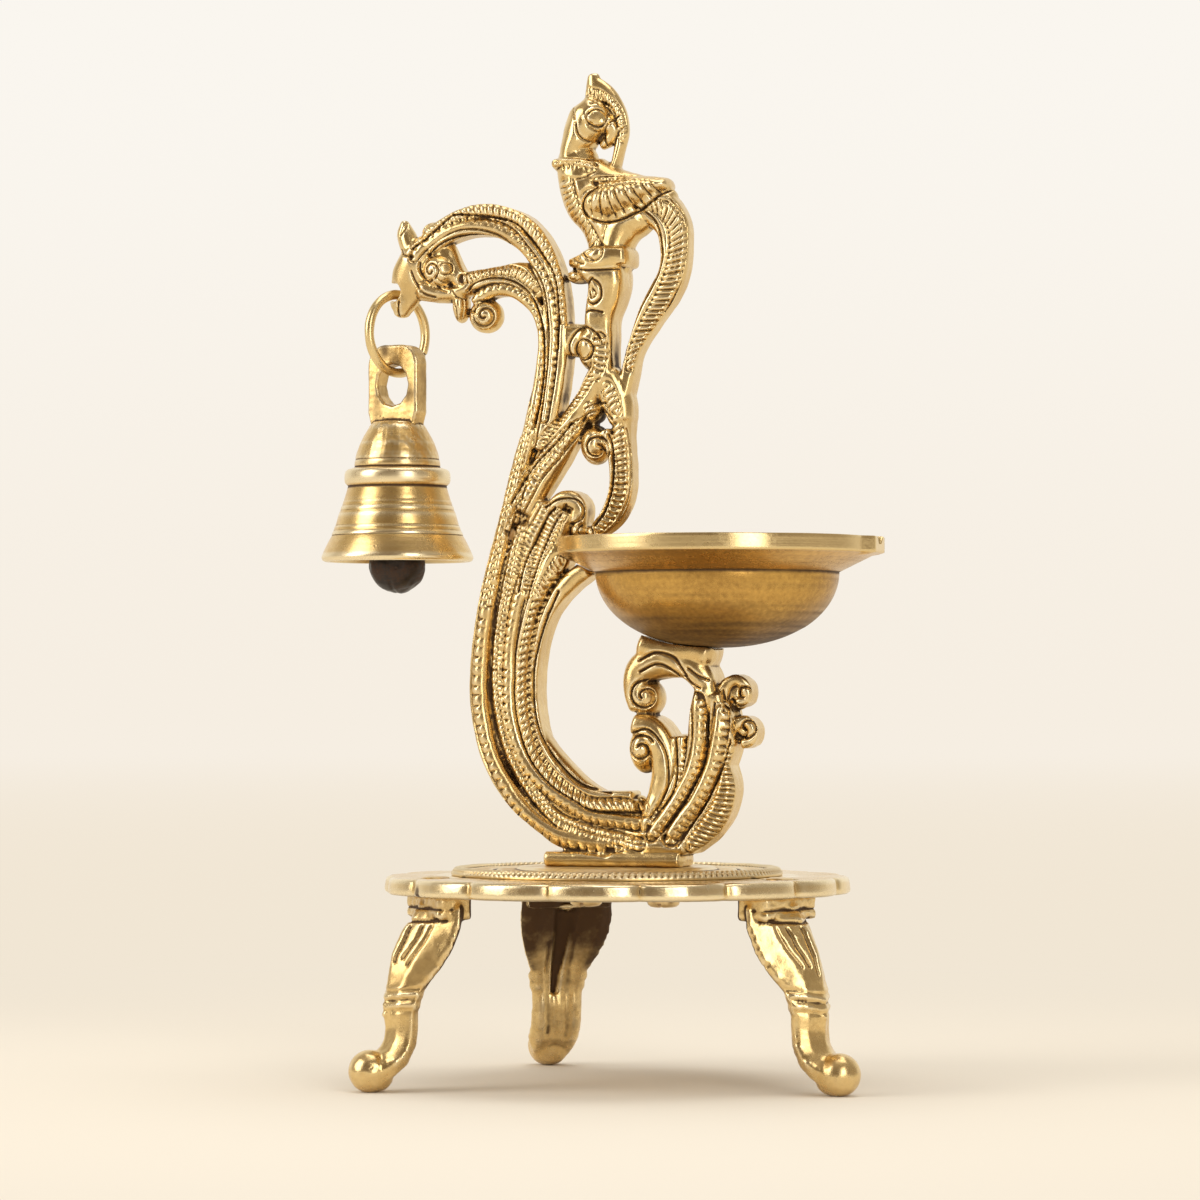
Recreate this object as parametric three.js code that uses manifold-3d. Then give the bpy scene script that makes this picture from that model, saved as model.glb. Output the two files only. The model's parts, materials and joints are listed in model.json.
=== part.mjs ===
// A brass oil lamp on a three-legged scalloped stand. An openwork casting carries a parrot, an oil bowl and,
// from the pierced beak at the end of its arch, a hand bell that swings on a ring. Millimetres, +Z up. The
// casting lies in the XZ plane. Sizes are given about the middle of the stand, and the finished lamp is
// moved so that the origin is on the floor below the middle of its outline.
import * as THREE from 'three';
import { mergeVertices } from 'three/addons/utils/BufferGeometryUtils.js';
import Module from 'manifold-3d';

const wasm = await Module();
wasm.setup();

// Driving dimensions

const gap = 0.3; // between brazed, screwed or running faces

const plateRadius = 58;
const plateLobes = 16;
const lobeDepth = 2.4;
const plateThickness = 4.5;
const plateBottom = 50;
const plateBevel = 0.9;

const discRadius = 41;
const discHeight = 2.2;
const discRopeWidth = 3.6;
const discDish = 0.7;
const discSeatRadius = 24;

const footLeft = -17.8;
const footRight = 18.6;
const footDepth = 14;
const footHeight = 3.6;
const footRound = 2.6;
const footBevel = 0.8;

// The casting is drawn at full size, with the disc's top at drawnFloor, and may be made larger or smaller.
const castingHeight = 196.3; // from the disc to the tip of the crest
const drawnHeight = 196.3;
const drawnFloor = 56.7;
const castingScale = castingHeight / drawnHeight;

const bowlX = 25.8 * castingScale;
const rimRadius = 39.3;
const rimRise = 81.1 * castingScale; // above the disc
const rimHeight = 4.1;
const rimConeHeight = 4.5;
const cupRadius = 30;
const cupDepth = 18.6;
const bowlWall = 2.4;
const bowlHollow = 1.2;
const spoutLength = 1.9;
const spoutTipWidth = 6.6;
const spoutHalfAngle = 11;
const spoutChannelWidth = 3.4;
const spoutChannelDepth = 2;
const bowlScrewOffset = -4.8;

const bellX = -57.6 * castingScale;
const beakRise = 142.7 * castingScale; // the middle of the ring's wire in the beak, above the disc
const hangTurn = -26; // the ring hangs this much out of square with the casting
const tabTurn = -14; // and the loop on top of the bell this much
const ringRadius = 9.8;
const ringWire = 1.25;
const beakHoleRadius = 2.7;
const beakHoleRise = 0.6; // the hole's middle above the middle of the ring's wire

const bellRadius = 19.1;
const bellHeight = 35.1;
const crownThickness = 2.9;
const tabWidth = 14.8;
const tabThickness = 5.2;
const tabHeight = 19.3;
const tabBevel = 0.5;
const tabHoleWidth = 9;
const tabHoleHeight = 10.4;
const tabHoleRise = 2.1; // the hole's upper edge above the middle of the ring's wire
const tabCap = 4.9; // metal above the hole, by which the bell hangs

const stapleWire = 0.9;
const stapleRadius = 3.2;
const eyeRadius = 2.6;
const rodRadius = 1.1;
const clapperRadius = 7.5;
const clapperDrop = 0.5; // the ball's middle below the mouth

const screwRadius = 2.2;
const screwHeadRadius = 4;
const screwHeadHeight = 2.4;
const screwSlotWidth = 1;
const screwSlotDepth = 1.1;
const screwReach = 8; // how far a screw goes into the casting
const washerRadius = 5.2;
const washerThickness = 1;
const stemScrewX = { left: -8, right: 12 };

const rivetRadius = 2;
const rivetHeadRadius = 3.4;
const rivetHeadHeight = 1.4;
const rivetReach = 6;
const legInset = 10; // from the plate's edge to the middle of a rivet
const soleZ = 2.8; // the height at which the feet are cut flat
const legTurns = { right: -18, back: 123, left: 220 };

const plateTop = plateBottom + plateThickness;
const discTop = plateTop + discHeight;
const footTop = discTop + footHeight;
const legReach = plateRadius - legInset;
const rimTop = discTop + rimRise;
const bowlBottom = rimTop - rimHeight - rimConeHeight - cupDepth;
const beakWireZ = discTop + beakRise;
const ringCentreZ = beakWireZ - ringRadius;
const tabWireZ = ringCentreZ - ringRadius;
const tabTopZ = tabWireZ + tabHoleRise + tabCap;
const bellTopZ = tabTopZ - tabHeight;
const bellMouthZ = bellTopZ - bellHeight;
const bellCrownZ = bellTopZ - crownThickness;
const clapperZ = bellMouthZ - clapperDrop;
const stapleZ = bellCrownZ - 1;
const hookZ = stapleZ - stapleRadius;

const brass = { color: 0xc9983f, roughness: 0.34, metalness: 1 };
const dullBrass = { color: 0xb98f4c, roughness: 0.5, metalness: 1 };
const iron = { color: 0x2a2422, roughness: 0.62, metalness: 0.6 };

// Solids

// A three.js geometry as a closed solid.
function solid(geometry) {
  const bare = geometry.clone();
  bare.deleteAttribute('normal');
  bare.deleteAttribute('uv');
  const merged = mergeVertices(bare, 1e-4);
  return new wasm.Manifold(new wasm.Mesh({
    numProp: 3,
    vertProperties: new Float32Array(merged.attributes.position.array),
    triVerts: new Uint32Array(merged.index.array),
  }));
}

const joined = (bodies) => bodies.reduce((whole, body) => whole.add(body));
const cut = (body, tools) => tools.reduce((rest, tool) => rest.subtract(tool), body);
const radians = THREE.MathUtils.degToRad;

// A closed skin over rings of points that all have the same count, with a pole at each end.
function skin(rings, firstPole, lastPole) {
  const count = rings[0].length;
  const points = [firstPole, ...rings.flat(), lastPole];
  const last = points.length - 1;
  const faces = [];
  for (let k = 0; k < count; k++) {
    const next = (k + 1) % count;
    faces.push(0, 1 + next, 1 + k);
    for (let i = 0; i < rings.length - 1; i++) {
      const a = 1 + i * count;
      const b = a + count;
      faces.push(a + k, a + next, b + next, a + k, b + next, b + k);
    }
    faces.push(last, last - count + k, last - count + next);
  }
  const geometry = new THREE.BufferGeometry().setFromPoints(points);
  geometry.setIndex(faces);
  return geometry;
}

// Sections as [across, through], going round once. A bar has flat edges and a ridge along front and back.
const ridged = [[1, 0.62], [0, 1], [-1, 0.62], [-1, -0.62], [0, -1], [1, -0.62]];
const flattened = [
  [1, 0.5], [0.55, 1], [-0.55, 1], [-1, 0.5], [-1, -0.5], [-0.55, -1], [0.55, -1], [1, -0.5],
];

// From the casting's drawing, where a station is [x, z, width, depth], to its place and size in the lamp.
const drawn = ([x, z, ...sizes]) => [
  x * castingScale, discTop + (z - drawnFloor) * castingScale, ...sizes.map((size) => size * castingScale),
];

// A cast bar in the XZ plane with rounded ends, through stations of the drawing.
function bar(drawing, steps, section = ridged) {
  const stations = drawing.map(drawn);
  const line = new THREE.CatmullRomCurve3(stations.map(([x, z]) => new THREE.Vector3(x, 0, z)));
  const size = new THREE.CatmullRomCurve3(stations.map(([, , w, d]) => new THREE.Vector3(w, d, 0)));
  const rings = Array.from({ length: steps + 1 }, (_, i) => {
    const along = line.getTangent(i / steps);
    const { x: width, y: depth } = size.getPoint(i / steps);
    return section.map(([across, through]) => line.getPoint(i / steps).add(new THREE.Vector3(
      (along.z * across * width) / 2,
      (through * depth) / 2,
      (-along.x * across * width) / 2,
    )));
  });
  const pole = (t, slide) => line.getPoint(t).addScaledVector(line.getTangent(t), slide * size.getPoint(t).x);
  return solid(skin(rings, pole(0, -0.25), pole(1, 0.25)));
}

// An ellipsoid with its middle in the casting's plane, drawn as [x, z, width, depth, height].
function boss(drawing, turn = 0) {
  const [x, z, width, depth, height] = drawn(drawing);
  const ball = new THREE.SphereGeometry(0.5, 8, 5);
  ball.rotateX(Math.PI / 2);
  ball.scale(width, depth, height);
  ball.rotateY(radians(turn));
  ball.translate(x, 0, z);
  return solid(ball);
}

function block([x0, x1], [y0, y1], [z0, z1]) {
  const box = new THREE.BoxGeometry(x1 - x0, y1 - y0, z1 - z0);
  box.translate((x0 + x1) / 2, (y0 + y1) / 2, (z0 + z1) / 2);
  return solid(box);
}

// A body of revolution about a vertical axis; the profile is [radius, z] from the bottom to the top.
function turned(profile, segments, x = 0, y = 0) {
  const lathe = new THREE.LatheGeometry(profile.map(([r, z]) => new THREE.Vector2(r, z)), segments);
  lathe.rotateX(Math.PI / 2);
  lathe.translate(x, y, 0);
  return solid(lathe);
}

const pin = (x, y, radius, z0, z1, segments = 10) =>
  turned([[0, z0], [radius, z0], [radius, z1], [0, z1]], segments, x, y);

// A wire ring in an upright plane that is turned about Z.
function wireRing(radius, wire, turn, z, around, section) {
  const torus = new THREE.TorusGeometry(radius, wire, section, around);
  torus.rotateX(Math.PI / 2);
  torus.rotateZ(radians(turn));
  torus.translate(bellX, 0, z);
  return solid(torus);
}

// The stand

function basePlate() {
  const pointsPerLobe = 4;
  const count = plateLobes * pointsPerLobe;
  const outline = Array.from({ length: count }, (_, i) => {
    const turn = (i / count) * 2 * Math.PI;
    const swell = Math.sqrt(Math.abs(Math.sin((plateLobes * turn) / 2)));
    const radius = plateRadius - lobeDepth * (1 - swell);
    return new THREE.Vector2(radius * Math.cos(turn), radius * Math.sin(turn));
  });
  const geometry = new THREE.ExtrudeGeometry(new THREE.Shape(outline), {
    depth: plateThickness - 2 * plateBevel,
    bevelThickness: plateBevel,
    bevelSize: plateBevel,
    bevelOffset: -plateBevel,
    bevelSegments: 1,
  });
  geometry.translate(0, 0, plateBottom + plateBevel);
  const screwHoles = Object.values(stemScrewX).map((x) =>
    pin(x, 0, screwRadius + gap, plateBottom - 1, plateTop + 1));
  const rivetHoles = Object.values(legTurns).map((turn) => turned([
    [0, plateBottom - 1],
    [rivetRadius + gap, plateBottom - 1],
    [rivetRadius + gap, plateTop - rivetHeadHeight - gap],
    [rivetHeadRadius + gap, plateTop],
    [rivetHeadRadius + gap, plateTop + 1],
    [0, plateTop + 1],
  ], 12, legReach * Math.cos(radians(turn)), legReach * Math.sin(radians(turn))));
  return cut(solid(geometry), [...screwHoles, ...rivetHoles]);
}

function rosetteDisc() {
  const rope = discRadius - discRopeWidth;
  const dish = discTop - discDish;
  const disc = turned([
    [0, plateTop],
    [discRadius, plateTop],
    [discRadius, discTop - discDish],
    [discRadius - discRopeWidth * 0.3, discTop],
    [rope + discRopeWidth * 0.2, discTop],
    [rope - 0.6, dish],
    [discSeatRadius + 1, dish],
    [discSeatRadius, discTop],
    [0, discTop],
  ], 24);
  const screwHoles = Object.values(stemScrewX).map((x) =>
    pin(x, 0, screwRadius + gap, plateTop - 1, discTop + 1));
  return cut(disc, screwHoles);
}

// One cabriole leg, pointing along +X from its rivet: a domed shell with a hollow back, a leaf that swells
// on the knee, two bands at the ankle and a turned-out pad foot. Stations are [out, height as a share of the
// plate's, half width, thickness, hollow], and the rings along the leg are [place along it, scale].
const legStations = [
  [-0.6, 0.968, 11.6, 7, 1.2],
  [1.6, 0.87, 11.8, 7, 3],
  [5, 0.75, 10.8, 6.6, 4],
  [7.6, 0.64, 8.6, 6.4, 3.2],
  [9, 0.54, 6.7, 6.2, 1.4],
  [9.4, 0.44, 6.2, 6, 0.8],
  [9.2, 0.34, 6.1, 5.8, 0.5],
  [10.4, 0.252, 6.2, 6.2, 0.3],
  [15, 0.176, 6.3, 7.6, 0],
  [20.4, 0.11, 6.4, 12.2, 0],
];
const legRings = [
  [0, 1], [0.1, 1], [0.19, 1], [0.28, 1], [0.36, 1], [0.42, 1], [0.44, 1.12], [0.465, 1.12], [0.48, 1],
  [0.5, 1.1], [0.52, 1.1], [0.535, 1], [0.63, 1], [0.72, 1], [0.8, 1], [0.9, 1], [1, 1],
];
const leafFrom = 0.06;
const leafTo = 0.4;
const leafSwell = 1.5;

function legShell() {
  const line = new THREE.CatmullRomCurve3(
    legStations.map(([u, share]) => new THREE.Vector3(u, 0, share * plateBottom)));
  const size = new THREE.CatmullRomCurve3(
    legStations.map(([, , half, thick, hollow]) => new THREE.Vector3(half, thick, hollow)));
  const section = [
    [-1, 0], [-0.62, 0.66], [0, 1], [0.62, 0.66], [1, 0], [0.74, -0.7], [0, -0.6], [-0.74, -0.7],
  ];
  const rings = legRings.map(([t, scale]) => {
    const along = line.getTangent(t);
    const { x: half, y: thick, z: hollow } = size.getPoint(t);
    const onLeaf = THREE.MathUtils.clamp((t - leafFrom) / (leafTo - leafFrom), 0, 1);
    const swell = leafSwell * Math.sin(Math.PI * onLeaf);
    return section.map(([across, out]) => {
      const leaf = across === 0 && out > 0 ? swell : 0;
      const lift = (out * thick * scale) / 2 - hollow * across * across + leaf;
      return line.getPoint(t)
        .add(new THREE.Vector3(-along.z * lift, -across * half * scale, along.x * lift));
    });
  });
  const end = (t, slide) => line.getPoint(t).addScaledVector(line.getTangent(t), slide);
  return solid(skin(rings, end(0, -0.2), end(1, 2)));
}

function leg() {
  const body = joined([
    legShell(),
    block([-4.6, 3], [-10.4, 10.4], [plateBottom - 4.8, plateBottom]),
  ]);
  return cut(body, [
    block([-30, 60], [-20, 20], [soleZ - 20, soleZ]),
    block([-30, 60], [-20, 20], [plateBottom, plateBottom + 20]),
    pin(0, 0, rivetRadius + gap, plateBottom - rivetReach - gap, plateBottom + 1, 10),
  ]);
}

const legRivet = () => turned([
  [0, plateBottom - rivetReach],
  [rivetRadius, plateBottom - rivetReach],
  [rivetRadius, plateTop - rivetHeadHeight],
  [rivetHeadRadius, plateTop],
  [0, plateTop + 0.5],
], 12);

// A slotted screw that comes up through washer, plate and disc into the casting.
function stemScrew(x) {
  const headTop = plateBottom - washerThickness;
  const headBottom = headTop - screwHeadHeight;
  const end = footTop + screwReach;
  const body = turned([
    [0, headBottom],
    [screwHeadRadius * 0.7, headBottom],
    [screwHeadRadius, headBottom + screwHeadHeight * 0.45],
    [screwHeadRadius, headTop],
    [screwRadius, headTop],
    [screwRadius, end - screwRadius * 0.5],
    [0, end],
  ], 12, x);
  const half = screwSlotWidth / 2;
  return body.subtract(block([x - half, x + half], [-9, 9], [headBottom - 1, headBottom + screwSlotDepth]));
}

const stemWasher = (x) =>
  pin(x, 0, washerRadius, plateBottom - washerThickness, plateBottom)
    .subtract(pin(x, 0, screwRadius + gap, plateBottom - 9, plateBottom + 1));

// The oil bowl

// The rounded part of the cup as [radius, z] from its lowest point up to the cone below the rim.
function cupCurve(radius, bottom, depth, points) {
  return Array.from({ length: points }, (_, i) => {
    const turn = ((i + 1) / points) * (Math.PI / 2);
    return [radius * Math.sin(turn) ** 0.9, bottom + depth * (1 - Math.cos(turn))];
  });
}

// The bowl's outside, closed over its mouth and grown on all sides by a clearance.
function bowlEnvelope(clearance) {
  const coneTop = rimTop - rimHeight;
  const body = turned([
    [0, bowlBottom - clearance],
    ...cupCurve(cupRadius + clearance, bowlBottom - clearance, cupDepth + clearance * 0.5, 7),
    [rimRadius + clearance, coneTop - clearance],
    [rimRadius + clearance, rimTop + clearance],
    [0, rimTop + clearance],
  ], 32, bowlX);
  const start = radians(spoutHalfAngle);
  const shape = new THREE.Shape([
    new THREE.Vector2(0, -rimRadius * Math.sin(start)),
    new THREE.Vector2(rimRadius * Math.cos(start), -rimRadius * Math.sin(start)),
    new THREE.Vector2(rimRadius + spoutLength, -spoutTipWidth / 2),
    new THREE.Vector2(rimRadius + spoutLength, spoutTipWidth / 2),
    new THREE.Vector2(rimRadius * Math.cos(start), rimRadius * Math.sin(start)),
    new THREE.Vector2(0, rimRadius * Math.sin(start)),
  ]);
  const spout = new THREE.ExtrudeGeometry(shape, { depth: rimHeight, bevelEnabled: false });
  spout.translate(bowlX, 0, coneTop);
  return body.add(solid(spout));
}

function oilBowl() {
  const coneTop = rimTop - rimHeight + bowlHollow;
  const cavity = turned([
    [0, bowlBottom + bowlWall],
    ...cupCurve(cupRadius - bowlWall, bowlBottom + bowlWall, cupDepth - bowlHollow, 6),
    [rimRadius - bowlWall, coneTop],
    [rimRadius - bowlWall, rimTop + 1],
    [0, rimTop + 1],
  ], 24, bowlX);
  const half = spoutChannelWidth / 2;
  const tip = bowlX + rimRadius + spoutLength;
  const inner = tip - spoutLength - bowlWall - 3;
  const channel = block([inner, tip + 1], [-half, half], [rimTop - spoutChannelDepth, rimTop + 1]);
  const x = bowlX + bowlScrewOffset;
  const screwHole = pin(x, 0, screwRadius + gap, bowlBottom - 1, bowlBottom + 9);
  return cut(bowlEnvelope(0), [cavity, channel, screwHole]);
}

// A round-headed screw that holds the bowl down on its pedestal.
function bowlScrew() {
  const x = bowlX + bowlScrewOffset;
  const seat = bowlBottom + bowlWall + gap + 0.5;
  const body = turned([
    [0, bowlBottom - screwReach + 1],
    [screwRadius, bowlBottom - screwReach + 2],
    [screwRadius, seat],
    [screwHeadRadius, seat],
    [screwHeadRadius * 0.9, seat + screwHeadHeight * 0.45],
    [screwHeadRadius * 0.5, seat + screwHeadHeight * 0.8],
    [0, seat + screwHeadHeight * 0.85],
  ], 12, x);
  const half = screwSlotWidth / 2;
  return body.subtract(block([x - half, x + half], [-9, 9], [seat + screwHeadHeight * 0.4, seat + 9]));
}

// The bell

// Its profiles are [share of the radius, share of the height], from the mouth up.
const bellOutside = [
  [0, 0], [0.953, 0], [1, 0.023], [0.979, 0.068], [0.906, 0.142], [0.869, 0.174], [0.817, 0.262],
  [0.696, 0.442], [0.644, 0.541], [0.696, 0.564], [0.696, 0.65], [0.571, 0.67], [0.55, 0.735],
  [0.524, 0.8], [0.445, 0.889], [0.366, 0.972], [0.314, 1], [0, 1.017],
];
const bellInside = [
  [0, -0.001], [0.885, -0.001], [0.885, 0.057], [0.733, 0.188], [0.597, 0.444], [0.555, 0.615],
  [0.44, 0.741], [0.283, 1 - crownThickness / bellHeight], [0, 1 - crownThickness / bellHeight],
];

function bell() {
  const full = (profile) => profile.map(([r, z]) => [r * bellRadius, bellMouthZ + z * bellHeight]);
  const shell = turned(full(bellOutside), 24, bellX).subtract(turned(full(bellInside), 16, bellX));
  const half = tabWidth / 2;
  const shape = new THREE.Shape();
  shape.moveTo(-half * 0.86, bellTopZ - 1.4);
  shape.lineTo(half * 0.86, bellTopZ - 1.4);
  shape.lineTo(half, bellTopZ + 2.4);
  shape.lineTo(half, tabTopZ - 4.6);
  shape.quadraticCurveTo(half * 0.92, tabTopZ - 0.4, half * 0.35, tabTopZ);
  shape.lineTo(-half * 0.35, tabTopZ);
  shape.quadraticCurveTo(-half * 0.92, tabTopZ - 0.4, -half, tabTopZ - 4.6);
  shape.lineTo(-half, bellTopZ + 2.4);
  const hole = new THREE.Path();
  const holeZ = tabWireZ + tabHoleRise - tabHoleHeight / 2;
  hole.absellipse(0, holeZ, tabHoleWidth / 2, tabHoleHeight / 2, 0, 2 * Math.PI, true);
  shape.holes.push(hole);
  const tab = new THREE.ExtrudeGeometry(shape, {
    depth: tabThickness - 2 * tabBevel,
    bevelThickness: tabBevel,
    bevelSize: tabBevel,
    bevelOffset: -tabBevel,
    bevelSegments: 1,
    curveSegments: 6,
  });
  tab.translate(0, 0, tabBevel - tabThickness / 2);
  tab.rotateX(Math.PI / 2);
  tab.rotateZ(radians(tabTurn));
  tab.translate(bellX, 0, 0);
  const staple = wireRing(stapleRadius, stapleWire, hangTurn + 90, stapleZ, 14, 6);
  return joined([shell, solid(tab), staple.intersect(pin(bellX, 0, 9, hookZ - 3, bellCrownZ + 1))]);
}

const bellRing = () => wireRing(ringRadius, ringWire, hangTurn + 90, ringCentreZ, 24, 6);

function clapperRod() {
  const eyeZ = hookZ + 2 * stapleWire + gap - eyeRadius;
  const rod = pin(bellX, 0, rodRadius, clapperZ - clapperRadius * 0.5, eyeZ - eyeRadius, 8);
  return wireRing(eyeRadius, stapleWire, hangTurn, eyeZ, 14, 6).add(rod);
}

function clapperBall() {
  const ball = new THREE.SphereGeometry(clapperRadius, 12, 8);
  ball.rotateX(Math.PI / 2);
  ball.translate(bellX, 0, clapperZ);
  const boreEnd = clapperZ - clapperRadius * 0.5 - gap;
  return solid(ball).subtract(pin(bellX, 0, rodRadius + gap, boreEnd, clapperZ + clapperRadius + 1, 8));
}

// The casting. Every bar runs through the whole thickness, so front and back are alike.

// The ribs that sweep from the foot round the belly of the crescent.
const crescent = () => [
  bar([
    [7, 62.7, 7.1, 11.6], [-3.4, 62.6, 7.1, 11.8], [-12.2, 64, 6.1, 12], [-18.2, 67.2, 4.6, 12],
    [-24.2, 72.1, 4.6, 12], [-28.9, 78.3, 4.6, 12], [-32.1, 84.8, 4.6, 12], [-33.9, 92.3, 4.6, 12],
    [-34.7, 99.7, 4.6, 12], [-34.4, 108.2, 4.6, 12], [-33.6, 115.7, 4.3, 12], [-32.3, 123.2, 4.3, 11.8],
    [-30.5, 131.2, 4.1, 11.4], [-28.4, 139.4, 3.8, 11], [-26.3, 147.6, 3.8, 10.6],
    [-24.5, 155, 3.8, 10.2], [-22.4, 162.4, 3.6, 9.8],
  ], 15),
  bar([
    [7, 67.6, 4.3, 11], [-3.4, 67.8, 4.3, 11], [-10.6, 68.7, 4.6, 11.2], [-15.8, 70.9, 5.1, 11.4],
    [-21.1, 75.4, 5.9, 11.4], [-24.7, 80.8, 6.4, 11.4], [-27.3, 87.8, 6.6, 11.4],
    [-28.7, 94.8, 6.9, 11.4], [-29.2, 100.2, 6.9, 11.4], [-28.9, 107.7, 6.9, 11.4],
    [-28.1, 114.7, 6.9, 11.4], [-26.8, 121.9, 6.6, 11.2], [-25, 128.9, 6.1, 11],
    [-22.4, 136.3, 5.6, 10.6], [-19.5, 143, 4.6, 10.2],
  ], 12),
  bar([
    [5.7, 71.6, 3.6, 11.8], [-3.6, 71.5, 3.6, 11.8], [-10.1, 73, 3.8, 11.8], [-15.8, 76.9, 4.1, 11.8],
    [-20, 82.1, 4.1, 11.8], [-22.4, 87.8, 4.3, 11.8], [-23.7, 94, 4.3, 11.8], [-24.2, 100.2, 4.3, 11.8],
    [-23.9, 107.7, 4.3, 11.8], [-22.9, 113.9, 4.3, 11.6], [-21.6, 119.6, 4.3, 11.4],
    [-19.2, 125.6, 4.6, 11.2], [-15.8, 130.8, 6.4, 11], [-13.5, 135, 6.1, 10.6],
  ], 11),
  bar([
    [4.7, 74, 2.8, 9.4], [-4.1, 74, 2.8, 9.4], [-8.8, 75.4, 2.8, 9.4], [-13, 78.4, 2.8, 9.4],
    [-16.6, 82.6, 2.8, 9.4], [-19, 88.3, 2.8, 9.4], [-20.3, 94, 2.8, 9.4], [-20.8, 100.2, 2.8, 9.4],
    [-20.5, 105.7, 2.8, 9.4], [-19.8, 111.4, 3.1, 9.4], [-17.9, 117.6, 3.3, 9.4],
    [-15.1, 122.6, 3.8, 9.6], [-11.4, 126.8, 4.6, 9.8], [-7.3, 130, 4.6, 9.8],
  ], 11),
];

// The hatched feathers that curl over at the top of the crescent, behind the bowl's rim.
const feathers = () => [
  bar([
    [-20.5, 122.1, 5.1, 11.6], [-18.7, 128.8, 6.1, 11.8], [-16.6, 135.5, 6.6, 11.8],
    [-14.5, 140.5, 6.6, 11.8], [-13.2, 143.9, 5.1, 11.4],
  ], 5),
  bar([
    [-25, 124.6, 5.1, 9.6], [-22.9, 132.1, 6.1, 9.8], [-20.3, 139.3, 7.7, 9.8], [-17.4, 145.5, 5.6, 9.8],
  ], 5),
  bar([
    [-16.9, 142, 3.6, 10.6], [-14.3, 146.4, 4.1, 10.8], [-10.9, 147.4, 4.6, 10.8],
    [-8.8, 145.4, 4.1, 10.6], [-9.3, 141.9, 4.1, 10.4],
  ], 7),
  boss([-9.1, 139.7, 5.1, 10.4, 5]),
];

// The neck that climbs from the crescent to the post, with its scroll and the leaves round it.
const neck = () => [
  bar([
    [-23.4, 145.5, 6.6, 9.6], [-19.5, 152.4, 7.7, 9.8], [-16.1, 157.9, 7.9, 10], [-13, 162.8, 7.4, 10],
    [-10.1, 167.5, 6.4, 10], [-6.7, 172.6, 5.6, 10.4], [-4.4, 177.5, 5.1, 10.8], [-2.3, 181.4, 5.1, 11],
  ], 7),
  boss([-5.2, 160.9, 7.4, 12.4, 9.9]),
  boss([-5.7, 169.4, 5.6, 12, 6.7]),
  bar([
    [-1.8, 178, 6.6, 11], [-0.3, 174, 8.2, 11], [1, 170.5, 7.7, 10.6], [1.8, 167, 6.1, 10],
  ], 5),
];

// The moon below the parrot's tail, which comes down to the rim of the bowl.
const lowerMoon = () => [
  bar([
    [1.3, 172, 5.1, 9.4], [2.1, 167, 4.8, 9], [1.8, 162.1, 5.1, 8.6], [2.3, 155.9, 5.1, 8.4],
    [2.3, 150.2, 5.1, 8.2], [0.8, 145.3, 5.1, 8], [-2.3, 141.3, 4.3, 8], [-6, 138.9, 3.1, 7.6],
  ], 7),
  bar([
    [-2.1, 164.1, 2.6, 9.4], [-0.5, 159.6, 2.3, 9.4], [0.3, 154.7, 2.3, 9.2], [0, 149.2, 2.3, 9],
    [-1.8, 144.3, 2.3, 8.8], [-4.7, 140.4, 2, 8.4],
  ], 6),
];

// The arch: three ribs that climb side by side, and the branch below them that ends in a ball.
const arch = () => [
  bar([
    [-24.2, 155, 3.8, 9.8], [-22.1, 162.4, 3.6, 9.8], [-20.8, 168.6, 3.3, 9.6], [-19.2, 175.3, 3.3, 9.2],
    [-18.2, 181.8, 3.3, 9], [-17.9, 187.7, 3.3, 8.6], [-19.2, 193.2, 3.3, 8.4], [-22.1, 197, 3.6, 8.4],
    [-26, 199.6, 3.8, 8.2], [-30.2, 200.2, 3.8, 8.2], [-33.6, 199, 3.6, 8], [-36, 196.8, 3.1, 7.6],
  ], 11),
  bar([
    [-18.7, 160.4, 3.6, 10], [-17.7, 167.3, 3.3, 10.2], [-16.9, 173.5, 3.1, 10], [-16.1, 181, 3.3, 9.8],
    [-15.8, 187.7, 3.3, 9.6], [-16.1, 194.6, 3.3, 9.4], [-17.1, 200.6, 3.6, 9.2], [-19.2, 205.6, 3.8, 9],
    [-22.4, 210.2, 4.1, 9], [-26.6, 213.3, 4.1, 9], [-31.3, 215.2, 4.3, 9], [-36, 215.6, 4.3, 9],
    [-40.5, 214.9, 4.3, 9], [-44.5, 213.3, 4.3, 8.8], [-48.2, 210.6, 4.3, 8.6],
  ], 12),
  bar([
    [-17.4, 161.9, 2.6, 9], [-15.6, 169.3, 3.1, 9.6], [-14.3, 176, 3.1, 9.6], [-13.5, 183.4, 3.3, 9.4],
    [-13.5, 190.8, 3.3, 9.2], [-14, 197.6, 3.3, 9], [-15.3, 203.6, 3.6, 8.8], [-17.1, 208.3, 3.8, 8.8],
    [-20, 212.9, 4.1, 8.8], [-23.9, 216.5, 4.1, 8.8], [-28.7, 218.6, 3.8, 8.6], [-33.4, 219.5, 3.6, 8.6],
    [-38.1, 218.9, 3.6, 8.4], [-42.6, 217.2, 3.6, 8.2], [-46.6, 214.9, 3.6, 8],
  ], 12),
  bar([
    [-45.3, 209.1, 7.7, 6.4], [-40.5, 202.9, 4.6, 7.2], [-35.2, 202.3, 5.6, 7.4],
    [-29.4, 202.7, 6.4, 7.4], [-24.2, 202.8, 7.7, 7.4], [-19, 200.7, 8.7, 7.4],
  ], 5),
  boss([-33.9, 193.5, 8.9, 8.8, 8.7]),
  boss([-40.5, 196.2, 4.1, 8, 8.7]),
];

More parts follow.
